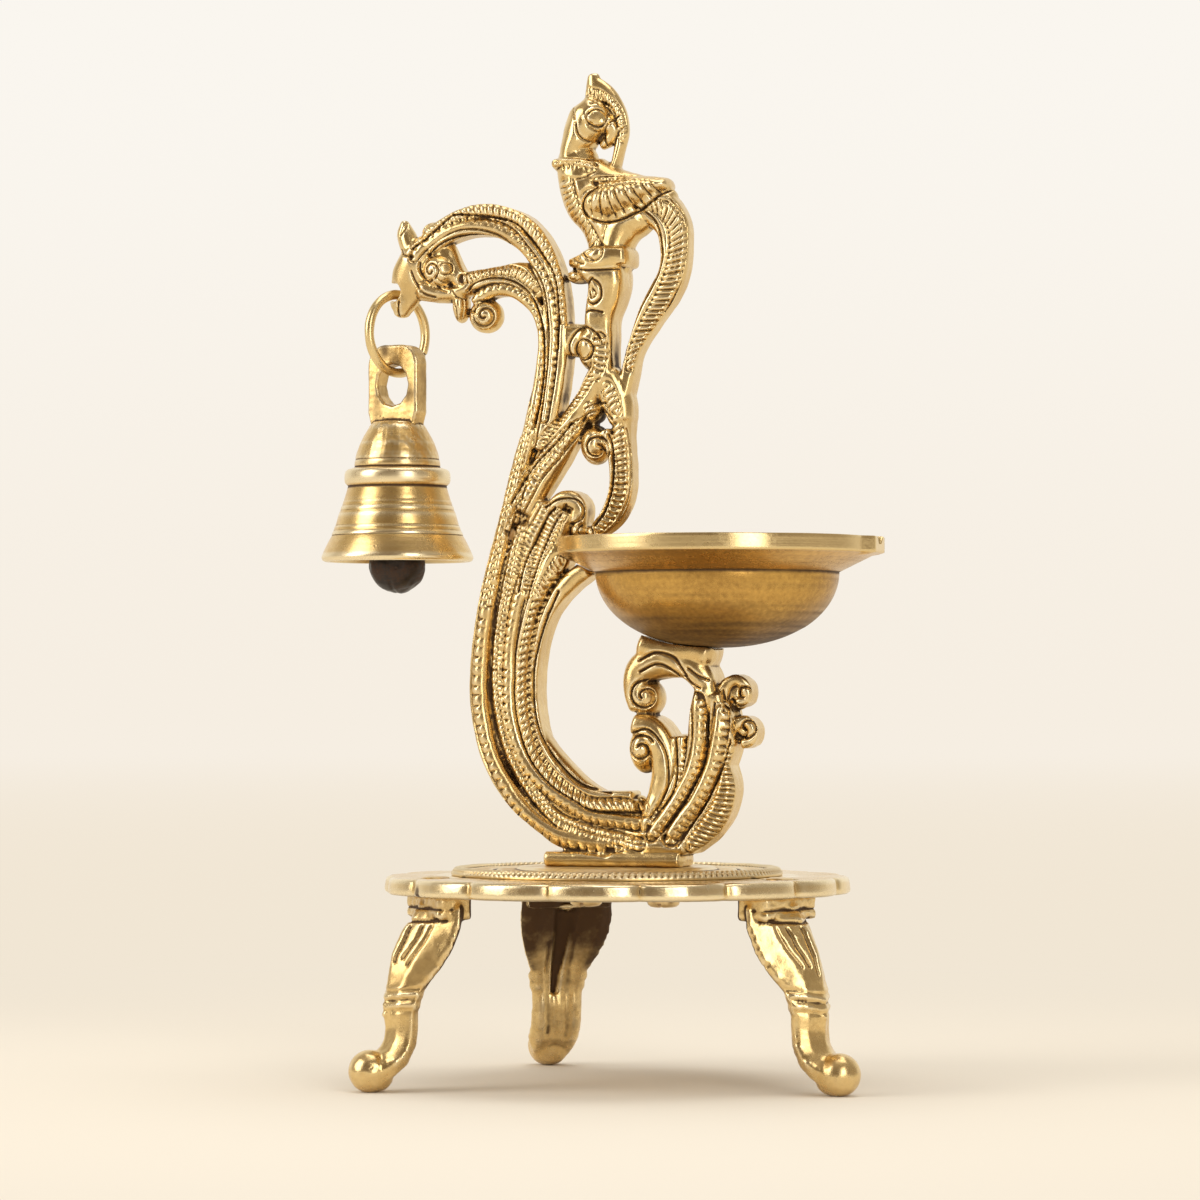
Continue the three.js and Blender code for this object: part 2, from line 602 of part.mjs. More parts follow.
// The head at the end of the arch, whose pierced beak carries the ring.
const head = () => [
  bar([
    [-49.5, 211.4, 6.6, 8.4], [-52.1, 208.5, 8.7, 8.6], [-53.5, 204, 10.7, 7.6], [-55.1, 200, 8.7, 5.6],
    [-56.1, 196.8, 6.9, 5.2], [-56.4, 194.8, 4.3, 4.6],
  ], 6),
  bar([
    [-55.6, 217.4, 2, 3], [-55.3, 214.6, 4.6, 5], [-54, 211.1, 5.1, 6.4],
  ], 5),
  boss([-45.8, 204.8, 9.4, 11.4, 9.4]),
  bar([
    [-50.3, 200.4, 5.6, 7.8], [-46, 199.3, 4.6, 7.8], [-42.1, 199.2, 4.3, 7.6], [-38.4, 200.4, 3.8, 7.4],
  ], 5),
];

// The post up to the parrot's perch, with its scroll, its heart and the two bridges to the arch.
const post = () => [
  bar([
    [-3.6, 206.2, 12.2, 15], [-1.8, 201.7, 9.7, 14.4], [-2.1, 197.8, 8.7, 13.6],
    [-3.4, 192.9, 7.7, 12.4], [-3.4, 187.4, 7.1, 12], [-2.8, 181.9, 5.6, 11.6], [-2.8, 177.5, 6.1, 11.2],
  ], 6),
  bar([
    [-11.2, 206, 2.2, 7], [-7.8, 206.2, 3.8, 13], [-3.6, 206.9, 6, 16], [3.2, 207.1, 5.2, 14],
  ], 4),
  boss([-6.2, 185.2, 6.9, 13.2, 11.9]),
  boss([-9.3, 202.7, 7.1, 8.4, 3.7]),
  bar([
    [-13.8, 187.1, 8.2, 8], [-7.5, 186.7, 8.2, 8.4],
  ], 2),
];

// The parrot that looks back over its shoulder.
const parrot = () => [
  bar([
    [-3.2, 207.7, 6.4, 12], [-3.8, 212.2, 7.6, 13], [-4.4, 216.2, 10.6, 14.8], [-6.1, 220.4, 13.2, 15.4],
    [-8.1, 224.7, 12.7, 14.6], [-9.6, 228.7, 11.2, 13.4], [-10.1, 232.2, 10, 12],
  ], 7, flattened),
  bar([
    [-0.3, 204.7, 7.7, 13], [0, 209.6, 8.2, 12.6], [1.3, 214, 10.7, 12], [3.9, 217.9, 13.3, 11.6],
  ], 5),
  bar([
    [-4.9, 220.1, 8.2, 17.8], [-1.3, 221.3, 10.7, 18.4], [3.4, 222.6, 9.7, 17], [8.5, 223.9, 6.6, 13.6],
    [13.2, 224.8, 3.6, 10.6],
  ], 5, flattened),
  bar([
    [-5.2, 227.6, 9.2, 12.6], [0.8, 225.2, 7.7, 11.8], [7.2, 222.7, 8.7, 10.8], [12.1, 219.6, 9.7, 9.8],
  ], 4),
  bar([
    [5.9, 219.6, 6.6, 9], [11.1, 218.9, 9.7, 9], [14.7, 214.6, 8.7, 8.8], [15.5, 208.7, 7.4, 8.6],
    [15, 203.3, 7.1, 8.4], [12.9, 198.6, 7.4, 8.2], [9.8, 193.8, 6.6, 8.2], [7.2, 188.9, 5.1, 8],
    [4.9, 183.8, 3.6, 8.2], [3.6, 178.1, 3.6, 8.6], [2.3, 172.9, 3.6, 9],
  ], 11),
  bar([
    [-14.8, 230.4, 3.3, 12.8], [-9.9, 230.7, 3.6, 14.6], [-4.9, 229.5, 3.3, 12.8],
  ], 4),
  bar([
    [-11, 230.2, 7.2, 12], [-10.8, 233.4, 7.1, 12.4], [-8.9, 237.9, 9.4, 13],
    [-6.9, 242, 10.3, 12.6], [-6.3, 244.8, 8.1, 10.5], [-6.4, 246.6, 3.6, 7],
  ], 6, flattened),
  bar([
    [-6, 252.2, 3.1, 2.8], [-5.7, 248.7, 4.8, 4], [-5.6, 245.5, 5.6, 5.4],
  ], 4),
  bar([
    [-5.6, 250.7, 3.4, 3.4], [-2.3, 247.5, 4.4, 4.2], [0.5, 243.2, 3.9, 4.6], [1.5, 238.2, 3.5, 5],
    [0.6, 233.3, 2.6, 5.2], [-0.3, 229.4, 2.6, 6.4], [-1, 226.9, 3.1, 8],
  ], 6),
  bar([
    [-2.8, 240.4, 5.1, 8], [-0.5, 238.6, 4.6, 6.4], [-1.6, 236.4, 3.3, 5.2], [-3.6, 235, 2.3, 3.8],
  ], 5),
  boss([-5.8, 241.2, 4.6, 14.4, 4.6]),
];

// The pedestal: two scrolls on the left, a see-through middle, two beaded feathers and a hatched leaf.
const pedestal = () => [
  bar([
    [7, 96.3, 5.1, 13.8], [5.9, 100.2, 5.1, 14.4], [7, 104.7, 7.1, 14.8], [10.6, 107.1, 8.7, 15],
    [15.2, 107.6, 8.7, 15], [19.8, 106.6, 7.7, 15], [23.4, 102.7, 6.1, 14.6], [24.9, 97.8, 4.1, 14],
  ], 7),
  bar([
    [8, 111.1, 6.1, 15], [14.2, 109.6, 6.6, 15.4], [20.9, 109.6, 7.1, 15.4], [24.4, 108.6, 6.1, 15],
  ], 4),
  boss([8, 98.3, 8.7, 14.8, 9.7]),
  bar([
    [6.2, 91.8, 5.1, 14], [10.1, 90.6, 6.6, 14.4], [12.9, 86.4, 7.1, 14.6], [13.9, 81, 7.1, 14.6],
    [12.9, 75.1, 6.6, 14.2], [10.6, 69.6, 5.6, 13.8], [9.3, 64.7, 5.1, 13.4],
  ], 6),
  boss([7.7, 85.9, 7.9, 14.4, 12.4]),
  bar([
    [17.5, 88.4, 3.6, 13], [18, 83, 4.1, 13], [16.7, 77.1, 4.1, 13], [13.9, 71.6, 4.1, 13],
    [10.6, 66.7, 4.1, 13],
  ], 5),
  bar([
    [23.9, 100.2, 4.6, 14.8], [22.6, 94.1, 4.6, 15], [22.1, 87.4, 4.6, 15], [20.9, 81, 4.6, 15],
    [18, 75.1, 4.6, 14.8], [14.7, 69.9, 4.6, 14.6], [11.1, 64.7, 4.6, 14.2],
  ], 7),
  bar([
    [26.5, 98.8, 4.1, 14], [27.5, 93.3, 4.1, 14.2], [27.2, 87.4, 4.6, 14.4], [25.7, 81.5, 4.8, 14.4],
    [23.2, 75.9, 5.1, 14.4], [19.6, 70.2, 5.1, 14.2], [15.5, 64.7, 5.1, 14],
  ], 6),
  bar([
    [27.8, 81.1, 5.1, 12], [28.3, 76.1, 6.6, 12], [26.7, 70.7, 7.1, 12], [23.4, 66, 6.6, 12.2],
    [19.3, 62.1, 5.1, 12.6],
  ], 5),
  bar([
    [28, 96.8, 4.6, 14], [28.5, 91.9, 5.6, 13.6], [28.3, 86.5, 6.6, 13], [27, 81.1, 5.1, 12.6],
  ], 4),
  boss([31.1, 99.2, 9.2, 12, 8.7]),
  boss([32.1, 91.1, 10.2, 12, 8.7], 15),
  bar([
    [3.9, 61.7, 4.3, 13.4], [11.6, 61.7, 4.3, 13.8], [18.8, 61.8, 4.1, 13.4],
  ], 2),
];

function footBlock() {
  const half = footDepth / 2;
  const shape = new THREE.Shape();
  shape.moveTo(footLeft + footRound, -half);
  shape.lineTo(footRight - footRound, -half);
  shape.quadraticCurveTo(footRight, -half, footRight, footRound - half);
  shape.lineTo(footRight, half - footRound);
  shape.quadraticCurveTo(footRight, half, footRight - footRound, half);
  shape.lineTo(footLeft + footRound, half);
  shape.quadraticCurveTo(footLeft, half, footLeft, half - footRound);
  shape.lineTo(footLeft, footRound - half);
  shape.quadraticCurveTo(footLeft, -half, footLeft + footRound, -half);
  const geometry = new THREE.ExtrudeGeometry(shape, {
    depth: footHeight - 2 * footBevel,
    bevelThickness: footBevel,
    bevelSize: footBevel,
    bevelOffset: -footBevel,
    bevelSegments: 1,
    curveSegments: 3,
  });
  geometry.translate(0, 0, discTop + footBevel);
  return solid(geometry);
}

function stemCasting() {
  const cast = joined([
    ...crescent(), ...feathers(), ...neck(), ...lowerMoon(), ...arch(), ...head(), ...post(), ...parrot(),
    ...pedestal(), footBlock(),
  ]);
  const beakHole = new THREE.CylinderGeometry(beakHoleRadius, beakHoleRadius, 40, 14);
  beakHole.rotateZ(radians(hangTurn));
  beakHole.translate(bellX, 0, beakWireZ + beakHoleRise);
  const holeRadius = screwRadius + gap;
  const footHoles = Object.values(stemScrewX).map((x) =>
    pin(x, 0, holeRadius, discTop - 1, footTop + screwReach + gap));
  const bowlHole = pin(
    bowlX + bowlScrewOffset, 0, holeRadius, bowlBottom - screwReach + 1 - gap, bowlBottom + 9);
  const floor = block([-99, 99], [-30, 30], [discTop - 9, discTop]);
  return cut(cast, [solid(beakHole), bowlEnvelope(gap), ...footHoles, bowlHole, floor]);
}

// The lamp

const lamp = new THREE.Group();
lamp.name = 'parrot_oil_lamp';

function add(name, body, look, turn = 0, reach = 0) {
  const { vertProperties, triVerts } = body.getMesh();
  const geometry = new THREE.BufferGeometry();
  geometry.setAttribute('position', new THREE.BufferAttribute(vertProperties, 3));
  geometry.setIndex(new THREE.BufferAttribute(triVerts, 1));
  geometry.translate(reach, 0, 0);
  geometry.rotateZ(radians(turn));
  geometry.computeVertexNormals();
  const mesh = new THREE.Mesh(geometry, new THREE.MeshStandardMaterial(look));
  mesh.name = name;
  lamp.add(mesh);
}

add('base_plate', basePlate(), brass);
add('rosette_disc', rosetteDisc(), brass);
for (const [side, turn] of Object.entries(legTurns)) {
  add(`leg_${side}`, leg(), brass, turn, legReach);
  add(`leg_rivet_${side}`, legRivet(), brass, turn, legReach);
}
for (const [side, x] of Object.entries(stemScrewX)) {
  add(`stem_screw_${side}`, stemScrew(x), brass);
  add(`stem_washer_${side}`, stemWasher(x), brass);
}
add('stem_casting', stemCasting(), brass);
add('oil_bowl', oilBowl(), brass);
add('bowl_screw', bowlScrew(), brass);
add('bell_ring', bellRing(), brass);
add('bell', bell(), dullBrass);
add('clapper_rod', clapperRod(), iron);
add('clapper_ball', clapperBall(), iron);

const middle = new THREE.Box3().setFromObject(lamp).getCenter(new THREE.Vector3());
for (const mesh of lamp.children) mesh.geometry.translate(-middle.x, -middle.y, -soleZ);
lamp.userData.origin = [middle.x, middle.y, soleZ];

export default lamp;
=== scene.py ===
# The looks of a brass oil lamp: a parrot casting on a scalloped three-legged stand, with a bowl, and a
# bell that hangs from the arch. Lengths in the dictionaries are millimetres, except where a note says so.
import json
import math

import bpy
import numpy as np
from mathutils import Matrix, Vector
from mathutils.bvhtree import BVHTree
from mathutils.kdtree import KDTree

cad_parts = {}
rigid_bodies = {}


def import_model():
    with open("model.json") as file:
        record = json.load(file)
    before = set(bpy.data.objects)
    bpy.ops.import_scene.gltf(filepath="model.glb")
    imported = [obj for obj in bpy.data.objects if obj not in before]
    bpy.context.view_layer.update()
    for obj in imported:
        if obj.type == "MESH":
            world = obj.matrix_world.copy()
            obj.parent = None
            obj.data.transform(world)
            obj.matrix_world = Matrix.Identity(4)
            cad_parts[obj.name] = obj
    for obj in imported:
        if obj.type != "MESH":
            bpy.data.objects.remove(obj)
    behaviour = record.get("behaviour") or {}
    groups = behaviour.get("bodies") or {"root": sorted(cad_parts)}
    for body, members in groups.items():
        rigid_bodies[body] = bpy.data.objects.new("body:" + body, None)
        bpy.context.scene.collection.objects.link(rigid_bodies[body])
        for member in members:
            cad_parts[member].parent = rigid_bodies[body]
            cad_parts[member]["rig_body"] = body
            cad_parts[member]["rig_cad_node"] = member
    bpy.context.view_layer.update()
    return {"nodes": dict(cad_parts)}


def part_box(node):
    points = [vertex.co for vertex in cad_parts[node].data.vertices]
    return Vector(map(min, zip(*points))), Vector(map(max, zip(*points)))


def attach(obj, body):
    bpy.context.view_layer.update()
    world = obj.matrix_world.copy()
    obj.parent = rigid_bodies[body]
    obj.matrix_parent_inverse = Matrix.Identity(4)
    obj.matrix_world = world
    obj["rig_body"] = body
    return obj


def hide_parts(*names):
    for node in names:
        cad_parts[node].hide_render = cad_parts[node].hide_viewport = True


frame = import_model()
print("frame read")

mm = 0.001
fullTurn = 2 * math.pi
plateLow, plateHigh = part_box("base_plate")
standX = (plateLow.x + plateHigh.x) / 2
standY = (plateLow.y + plateHigh.y) / 2
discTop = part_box("rosette_disc")[1].z
coarser = 1.0  # larger cells and fewer steps while trying things out

# The camera

camera = {"azimuth": 17, "distance": 1200, "aboveDisc": 42.3, "lens": 145.5, "sensor": 36,
          "shift": (-0.01417, 0.0792)}
turn = math.radians(camera["azimuth"])
bpy.ops.object.camera_add(
    location=(standX + math.sin(turn) * camera["distance"] * mm,
              standY - math.cos(turn) * camera["distance"] * mm,
              discTop + camera["aboveDisc"] * mm),
    rotation=(math.pi / 2, 0, turn))
lampCamera = bpy.context.object
lampCamera.data.lens = camera["lens"]
lampCamera.data.sensor_width = camera["sensor"]
lampCamera.data.shift_x, lampCamera.data.shift_y = camera["shift"]
bpy.context.scene.camera = lampCamera
print("camera set")


# Small tools

def only(*pieces):
    bpy.ops.object.select_all(action="DESELECT")
    for piece in pieces:
        piece.select_set(True)
    bpy.context.view_layer.objects.active = pieces[0]


def linked(piece):
    bpy.context.scene.collection.objects.link(piece)
    return piece


# Edit mode with the whole piece selected.
def openAll(piece):
    only(piece)
    bpy.ops.object.mode_set(mode="EDIT")
    bpy.ops.mesh.select_all(action="SELECT")


def closeEdit():
    bpy.ops.object.mode_set(mode="OBJECT")


# Cuts at a height above the disc what is selected in edit mode, and closes the cut.
def bisectAt(height, **side):
    bpy.ops.mesh.bisect(plane_co=(0, 0, discTop + height * mm), plane_no=(0, 0, 1), use_fill=True, **side)


# The new primitive, its place and turn worked into its mesh.
def settled(name=None):
    bpy.ops.object.transform_apply(location=True, rotation=True, scale=True)
    piece = bpy.context.object
    piece.name = name or piece.name
    return piece


def modify(piece, kind, **settings):
    only(piece)
    modifier = piece.modifiers.new(kind.lower(), kind)
    for key, value in settings.items():
        setattr(modifier, key, value)
    bpy.ops.object.modifier_apply(modifier=modifier.name)


def cutAway(piece, tool, solver="MANIFOLD"):
    modify(piece, "BOOLEAN", operation="DIFFERENCE", solver=solver, object=tool)
    bpy.data.objects.remove(tool)


def twinOf(piece, name):
    twin = piece.copy()
    twin.data = piece.data.copy()
    twin.name = name
    return linked(twin)


# A copy of a solid of the frame, as a piece of its own with its points merged.
def copyOf(node, name):
    piece = twinOf(frame["nodes"][node], name)
    piece.parent = None
    piece.hide_render = piece.hide_viewport = False
    piece.data.materials.clear()
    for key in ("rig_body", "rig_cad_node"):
        del piece[key]
    openAll(piece)
    bpy.ops.mesh.remove_doubles(threshold=1e-6)
    closeEdit()
    return piece


def remesh(piece, cell):
    only(piece)
    piece.data.remesh_voxel_size = cell * mm
    bpy.ops.object.voxel_remesh()


def readOut(things, field, size, kind=np.float32):
    flat = np.empty(len(things) * size, kind)
    things.foreach_get(field, flat)
    return flat.reshape(-1, size)


def pointsOf(piece):
    return readOut(piece.data.vertices, "co", 3)


def normalsOf(piece):
    return readOut(piece.data.vertex_normals, "vector", 3)


def edgesOf(piece):
    return readOut(piece.data.edges, "vertices", 2, np.int32)


def valueOf(piece, name):
    return readOut(piece.data.attributes[name].data, "value", 1)[:, 0]


# Places, and directions of the surface, in double precision.
def placesOf(piece):
    return pointsOf(piece).astype(np.float64)


def surfaceOf(piece):
    return placesOf(piece), normalsOf(piece).astype(np.float64)


def movePoints(piece, places):
    piece.data.vertices.foreach_set("co", places.astype(np.float32).ravel())
    piece.data.update()


def setValue(piece, name, values):
    layer = piece.data.attributes.get(name) or piece.data.attributes.new(name, "FLOAT", "POINT")
    layer.data.foreach_set("value", values.astype(np.float32))


# Makes a piece darker where the values say so, by at least as much or by as much more.
def darkenTo(piece, values):
    setValue(piece, "grimeAndShade", np.maximum(valueOf(piece, "grimeAndShade"), values).clip(0, 1))


def darkenBy(piece, values):
    setValue(piece, "grimeAndShade", (valueOf(piece, "grimeAndShade") + values).clip(0, 1))


def heightOf(z):
    return (z - discTop) / mm


def middleOf(node):
    low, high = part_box(node)
    return tuple((low + high) / 2)


# The heights of a node's ends above the disc, and where it stands.
def standing(node):
    low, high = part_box(node)
    return heightOf(low.z), heightOf(high.z), *middleOf(node)[:2]


# The mean of each point's neighbours, for places or for one value a point.
def neighbourMean(edges, values):
    count = len(values)
    near = np.bincount(edges.ravel(), minlength=count).clip(1)
    columns = values.reshape(count, -1)
    mean = np.empty_like(columns)
    for k in range(columns.shape[1]):
        mean[:, k] = (np.bincount(edges[:, 0], columns[edges[:, 1], k], count)
                      + np.bincount(edges[:, 1], columns[edges[:, 0], k], count)) / near
    return mean.reshape(values.shape)


# Smooths a mesh without making it thinner: a step in and a slightly larger step out.
def relax(piece, rounds, stepOut=0.53):
    edges, places = edgesOf(piece), placesOf(piece)
    for _ in range(rounds):
        places += 0.5 * (neighbourMean(edges, places) - places)
        if stepOut:
            places -= stepOut * (neighbourMean(edges, places) - places)
    movePoints(piece, places)


# A smooth unevenness between about -1 and 1, made of nine waves in odd directions, from 0.6 to 1.5 times as
# long as the given length.
def unevenness(places, length, seed):
    source = np.random.default_rng(seed)
    total = np.zeros(len(places))
    for k in range(9):
        direction = source.normal(size=3)
        direction *= fullTurn / (length * mm * np.linalg.norm(direction) * (0.6 + 0.11 * k))
        total += np.sin(places @ direction + source.uniform(0, 6.28))
    return total / 4.2


# How deep dents lie at each point: one or more kinds, each as (length, seed, depth in mm).
def dents(places, *kinds):
    return sum((unevenness(places, length, seed) + 1) * depth for length, seed, depth in kinds)


def smoothStep(low, high, value):
    share = np.clip((value - low) / (high - low), 0, 1)
    return share * share * (3 - 2 * share)


# A swelling of height 1 at 0 that has all but gone at twice the width.
def swell(value, width):
    return np.exp(-(value / width) ** 2)


shade = {"rays": 20, "lowest": 0.08, "lift": 0.35, "rounds": 3}


# How much of the sky each point of a mesh has lost to the piece itself, from 0 to 1. It is found on a
# coarse copy, and each point takes it from the nearest point there.
def shelter(piece, cell, reach):
    coarse = twinOf(piece, "coarse")
    remesh(coarse, cell)
    places, normals = pointsOf(coarse), normalsOf(coarse)
    tree = BVHTree.FromPolygons([Vector(p) for p in places],
                                [tuple(polygon.vertices) for polygon in coarse.data.polygons])
    k = np.arange(shade["rays"]) + 0.5
    height = 1 - k / shade["rays"] * (1 - shade["lowest"])
    around = k * math.pi * (1 + 5 ** 0.5)
    out = np.sqrt(1 - height ** 2)
    fan = np.stack([out * np.cos(around), out * np.sin(around), height], 1)
    share = height / height.sum()
    lost = np.zeros(len(places))
    for i, (place, normal) in enumerate(zip(places, normals)):
        turned = Vector(normal).to_track_quat("Z", "Y").to_matrix()
        start = Vector(place) + Vector(normal) * cell * shade["lift"] * mm
        for direction, weight in zip(fan, share):
            hit = tree.ray_cast(start, turned @ Vector(direction), reach * mm)
            if hit[0] is not None:
                lost[i] += weight * (1 - hit[3] / (reach * mm)) ** 0.5
    lost = neighbourMean(edgesOf(coarse), lost)
    finder = KDTree(len(places))
    for i, place in enumerate(places):
        finder.insert(place, i)
    finder.balance()
    found = np.array([lost[finder.find(place)[1]] for place in pointsOf(piece)])
    bpy.data.objects.remove(coarse)
    edges = edgesOf(piece)
    for _ in range(shade["rounds"]):
        found = neighbourMean(edges, found)
    return found


# Hollows show positive and ridges negative: how far each point lies inside the smoothed surface, in mm.
def hollowness(piece, rounds):
    edges, places = edgesOf(piece), placesOf(piece)
    smoothed = places.copy()
    for _ in range(rounds):
        smoothed += 0.6 * (neighbourMean(edges, smoothed) - smoothed)
    return ((smoothed - places) * normalsOf(piece)).sum(1) / mm


# The patina that sits in hollows, painted shade where the piece hides its own sky and on undersides, and
# the rubbed wear on what stands out, as two values on the points. Cell and reach are those of the lost sky,
# and the depth is that of a dark hollow.
def ageAndShadeSurface(piece, cell, reach, rounds, depth, under=0.35):
    hollow = hollowness(piece, rounds)
    lost = shelter(piece, cell, reach)
    # patina in the hollows, and painted shade where the piece hides its own sky
    grimeAndShade = smoothStep(0.05 * depth, depth, hollow) * 0.85 + smoothStep(0.2, 0.85, lost) * 0.9
    # painted shade on faces that look down
    grimeAndShade += under * smoothStep(0.3, 0.95, -normalsOf(piece)[:, 2])
    setValue(piece, "grimeAndShade", grimeAndShade.clip(0, 1))
    setValue(piece, "worn", smoothStep(0.1 * depth, depth, -hollow) * (1 - 0.5 * smoothStep(0.3, 0.8, lost)))


# One grime and one wear all over, for small pieces.
def ageEvenly(piece, grimeAndShade=0.15):
    for name, value in (("grimeAndShade", grimeAndShade), ("worn", 0.3)):
        setValue(piece, name, np.full(len(piece.data.vertices), value))


# Faces that meet at more than the angle keep a sharp edge.
def finishPiece(piece, body, slotName, node, angle=None):
    only(piece)
    if angle is None:
        bpy.ops.object.shade_smooth()
    else:
        bpy.ops.object.shade_smooth_by_angle(angle=math.radians(angle))
    piece.data.materials.clear()
    piece.data.materials.append(finishes[slotName])
    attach(piece, body)
    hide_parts(node)
    print(piece.name, "made:", len(piece.data.polygons), "faces")


# Carving

# A smooth line through points of (across, up, width), with a point about every step.
def smoothLine(points, step=0.8):
    rows = np.array(points, float)
    rows = np.vstack([2 * rows[0] - rows[1], rows, 2 * rows[-1] - rows[-2]])
    made = []
    for a, b, c, d in zip(rows, rows[1:], rows[2:], rows[3:]):
        count = max(2, round(math.dist(b[:2], c[:2]) / step))
        for t in np.arange(count) / count:
            made.append(0.5 * (2 * b + (c - a) * t + (2 * a - 5 * b + 4 * c - d) * t ** 2
                               + (3 * b - a - 3 * c + d) * t ** 3))
    made.append(rows[-2])
    return np.array(made)


# How far to the side of a line a spot still counts as beside it, and from where a pattern fades, in half
# widths, and how many spots are worked through at once.
reachAside = {"search": 1.3, "pattern": 1.25, "fade": 0.25, "batch": 20000}


# For each spot near a line: its number, how far along it lies, and how far to the side in half widths.
def beside(line, spots):
    margin = reachAside["search"]
    low = line[:, :2].min(0) - line[:, 2].max() * margin
    high = line[:, :2].max(0) + line[:, 2].max() * margin
    near = np.flatnonzero(((spots > low) & (spots < high)).all(1))
    starts, steps = line[:-1, :2], np.diff(line[:, :2], axis=0)
    lengths = np.hypot(*steps.T)
    travelled = np.concatenate([[0], np.cumsum(lengths)])
    along, across = np.empty(len(near)), np.empty(len(near))
    for first in range(0, len(near), reachAside["batch"]):
        part = slice(first, first + reachAside["batch"])
        rel = spots[near[part]][:, None, :] - starts[None]
        share = ((rel * steps).sum(-1) / lengths ** 2).clip(0, 1)
        off = rel - share[..., None] * steps
        away = (off ** 2).sum(-1)
        best = away.argmin(1)
        rows = np.arange(len(best))
        side = np.sign(steps[best, 0] * off[rows, best, 1] - steps[best, 1] * off[rows, best, 0])
        width = line[best, 2] + share[rows, best] * (line[best + 1, 2] - line[best, 2])
        along[part] = travelled[best] + share[rows, best] * lengths[best]
        across[part] = side * np.sqrt(away[rows, best]) * 2 / width
    kept = np.abs(across) < margin
    return near[kept], along[kept], across[kept]


# How high a stroke stands at each spot: 1 on its crest, 0 at the bottom of its cuts. The powers say how
# square the pattern's lumps are, and the sines keep them from being alike.
def crest(kind, along, across, pitch, slant):
    wide = np.abs(across).clip(0, 1)
    shoulder = (1 - wide ** 4) ** 0.5
    place = along / pitch + slant * across
    place = place + 0.07 * np.sin(place * 2.9)
    if kind == "pebbles":  # two rows of them
        second = across > 0
        place = place + 0.5 * second + 0.12 * np.sin(place * 5.1 + 2 * second)
        wide = np.abs(2 * wide - 1)
    beat = 2 * np.abs(place % 1 - 0.5)
    if kind == "pebbles":
        return ((1 - beat ** 2.6) * (1 - wide ** 2.8)) ** 0.5
    if kind == "beads":  # round to one side, like scallops
        out = ((1 + across) / 2).clip(0, 1)
        edge = 0.48 + 0.52 * (1 - beat ** 3.4) ** 0.5
        return ((1 - (out / edge).clip(0, 1) ** 3) * (1 - (1 - out) ** 8)) ** 0.5
    if kind == "scales":
        bow = 2 * np.abs((place + 0.45 * wide ** 2) % 1 - 0.5)
        return (1 - 0.85 * bow ** 5) * shoulder
    return (1 - 0.95 * beat ** 3.5) * (1 - 0.6 * wide ** 6)  # hatch


# The relief that a list of strokes cuts at the spots, in mm, never above the surface.
def relief(spots, strokes):
    height = np.zeros(len(spots))
    nearest = np.full(len(spots), reachAside["pattern"])
    cuts = np.zeros(len(spots))
    for kind, depth, points, *pattern in strokes:
        which, along, across = beside(smoothLine(points), spots)
        wide = np.abs(across)
        if kind == "groove":
            deep = depth * (1 - wide.clip(0, 1) ** 2) ** 1.5
            cuts[which] = np.maximum(cuts[which], deep)
            continue
        closer = wide < nearest[which]
        which, along, across, wide = which[closer], along[closer], across[closer], wide[closer]
        fade = ((reachAside["pattern"] - wide) / reachAside["fade"]).clip(0, 1)
        height[which] = -depth * casting["carve"] * (1 - crest(kind, along, across, *pattern)) * fade
        nearest[which] = wide
    return height - cuts


# A spot that leaves out its last values takes the line's own.
def filled(spots, *usual):
    return [(*spot, *usual[len(spot) - 2:]) for spot in spots]


def groove(depth, width, *spots):
    return "groove", depth, filled(spots, width)


def row(kind, pitch, depth, width, *spots, slant=0):
    return kind, depth, filled(spots, width), pitch, slant


def bar(section, width, depth, *spots):
    return section, filled(spots, width, depth)


def circle(x, z, radius):
    return [(x + radius * math.cos(t), z + radius * math.sin(t)) for t in np.linspace(0, fullTurn, 17)]


def spiral(x, z, outer, inner, turns, start):
    made = []
    for t in np.linspace(0, 1, round(14 * turns) + 3):
        angle = math.radians(start) + t * turns * fullTurn
        radius = outer + (inner - outer) * t
        made.append((x + radius * math.cos(angle), z + radius * math.sin(angle)))
    return made


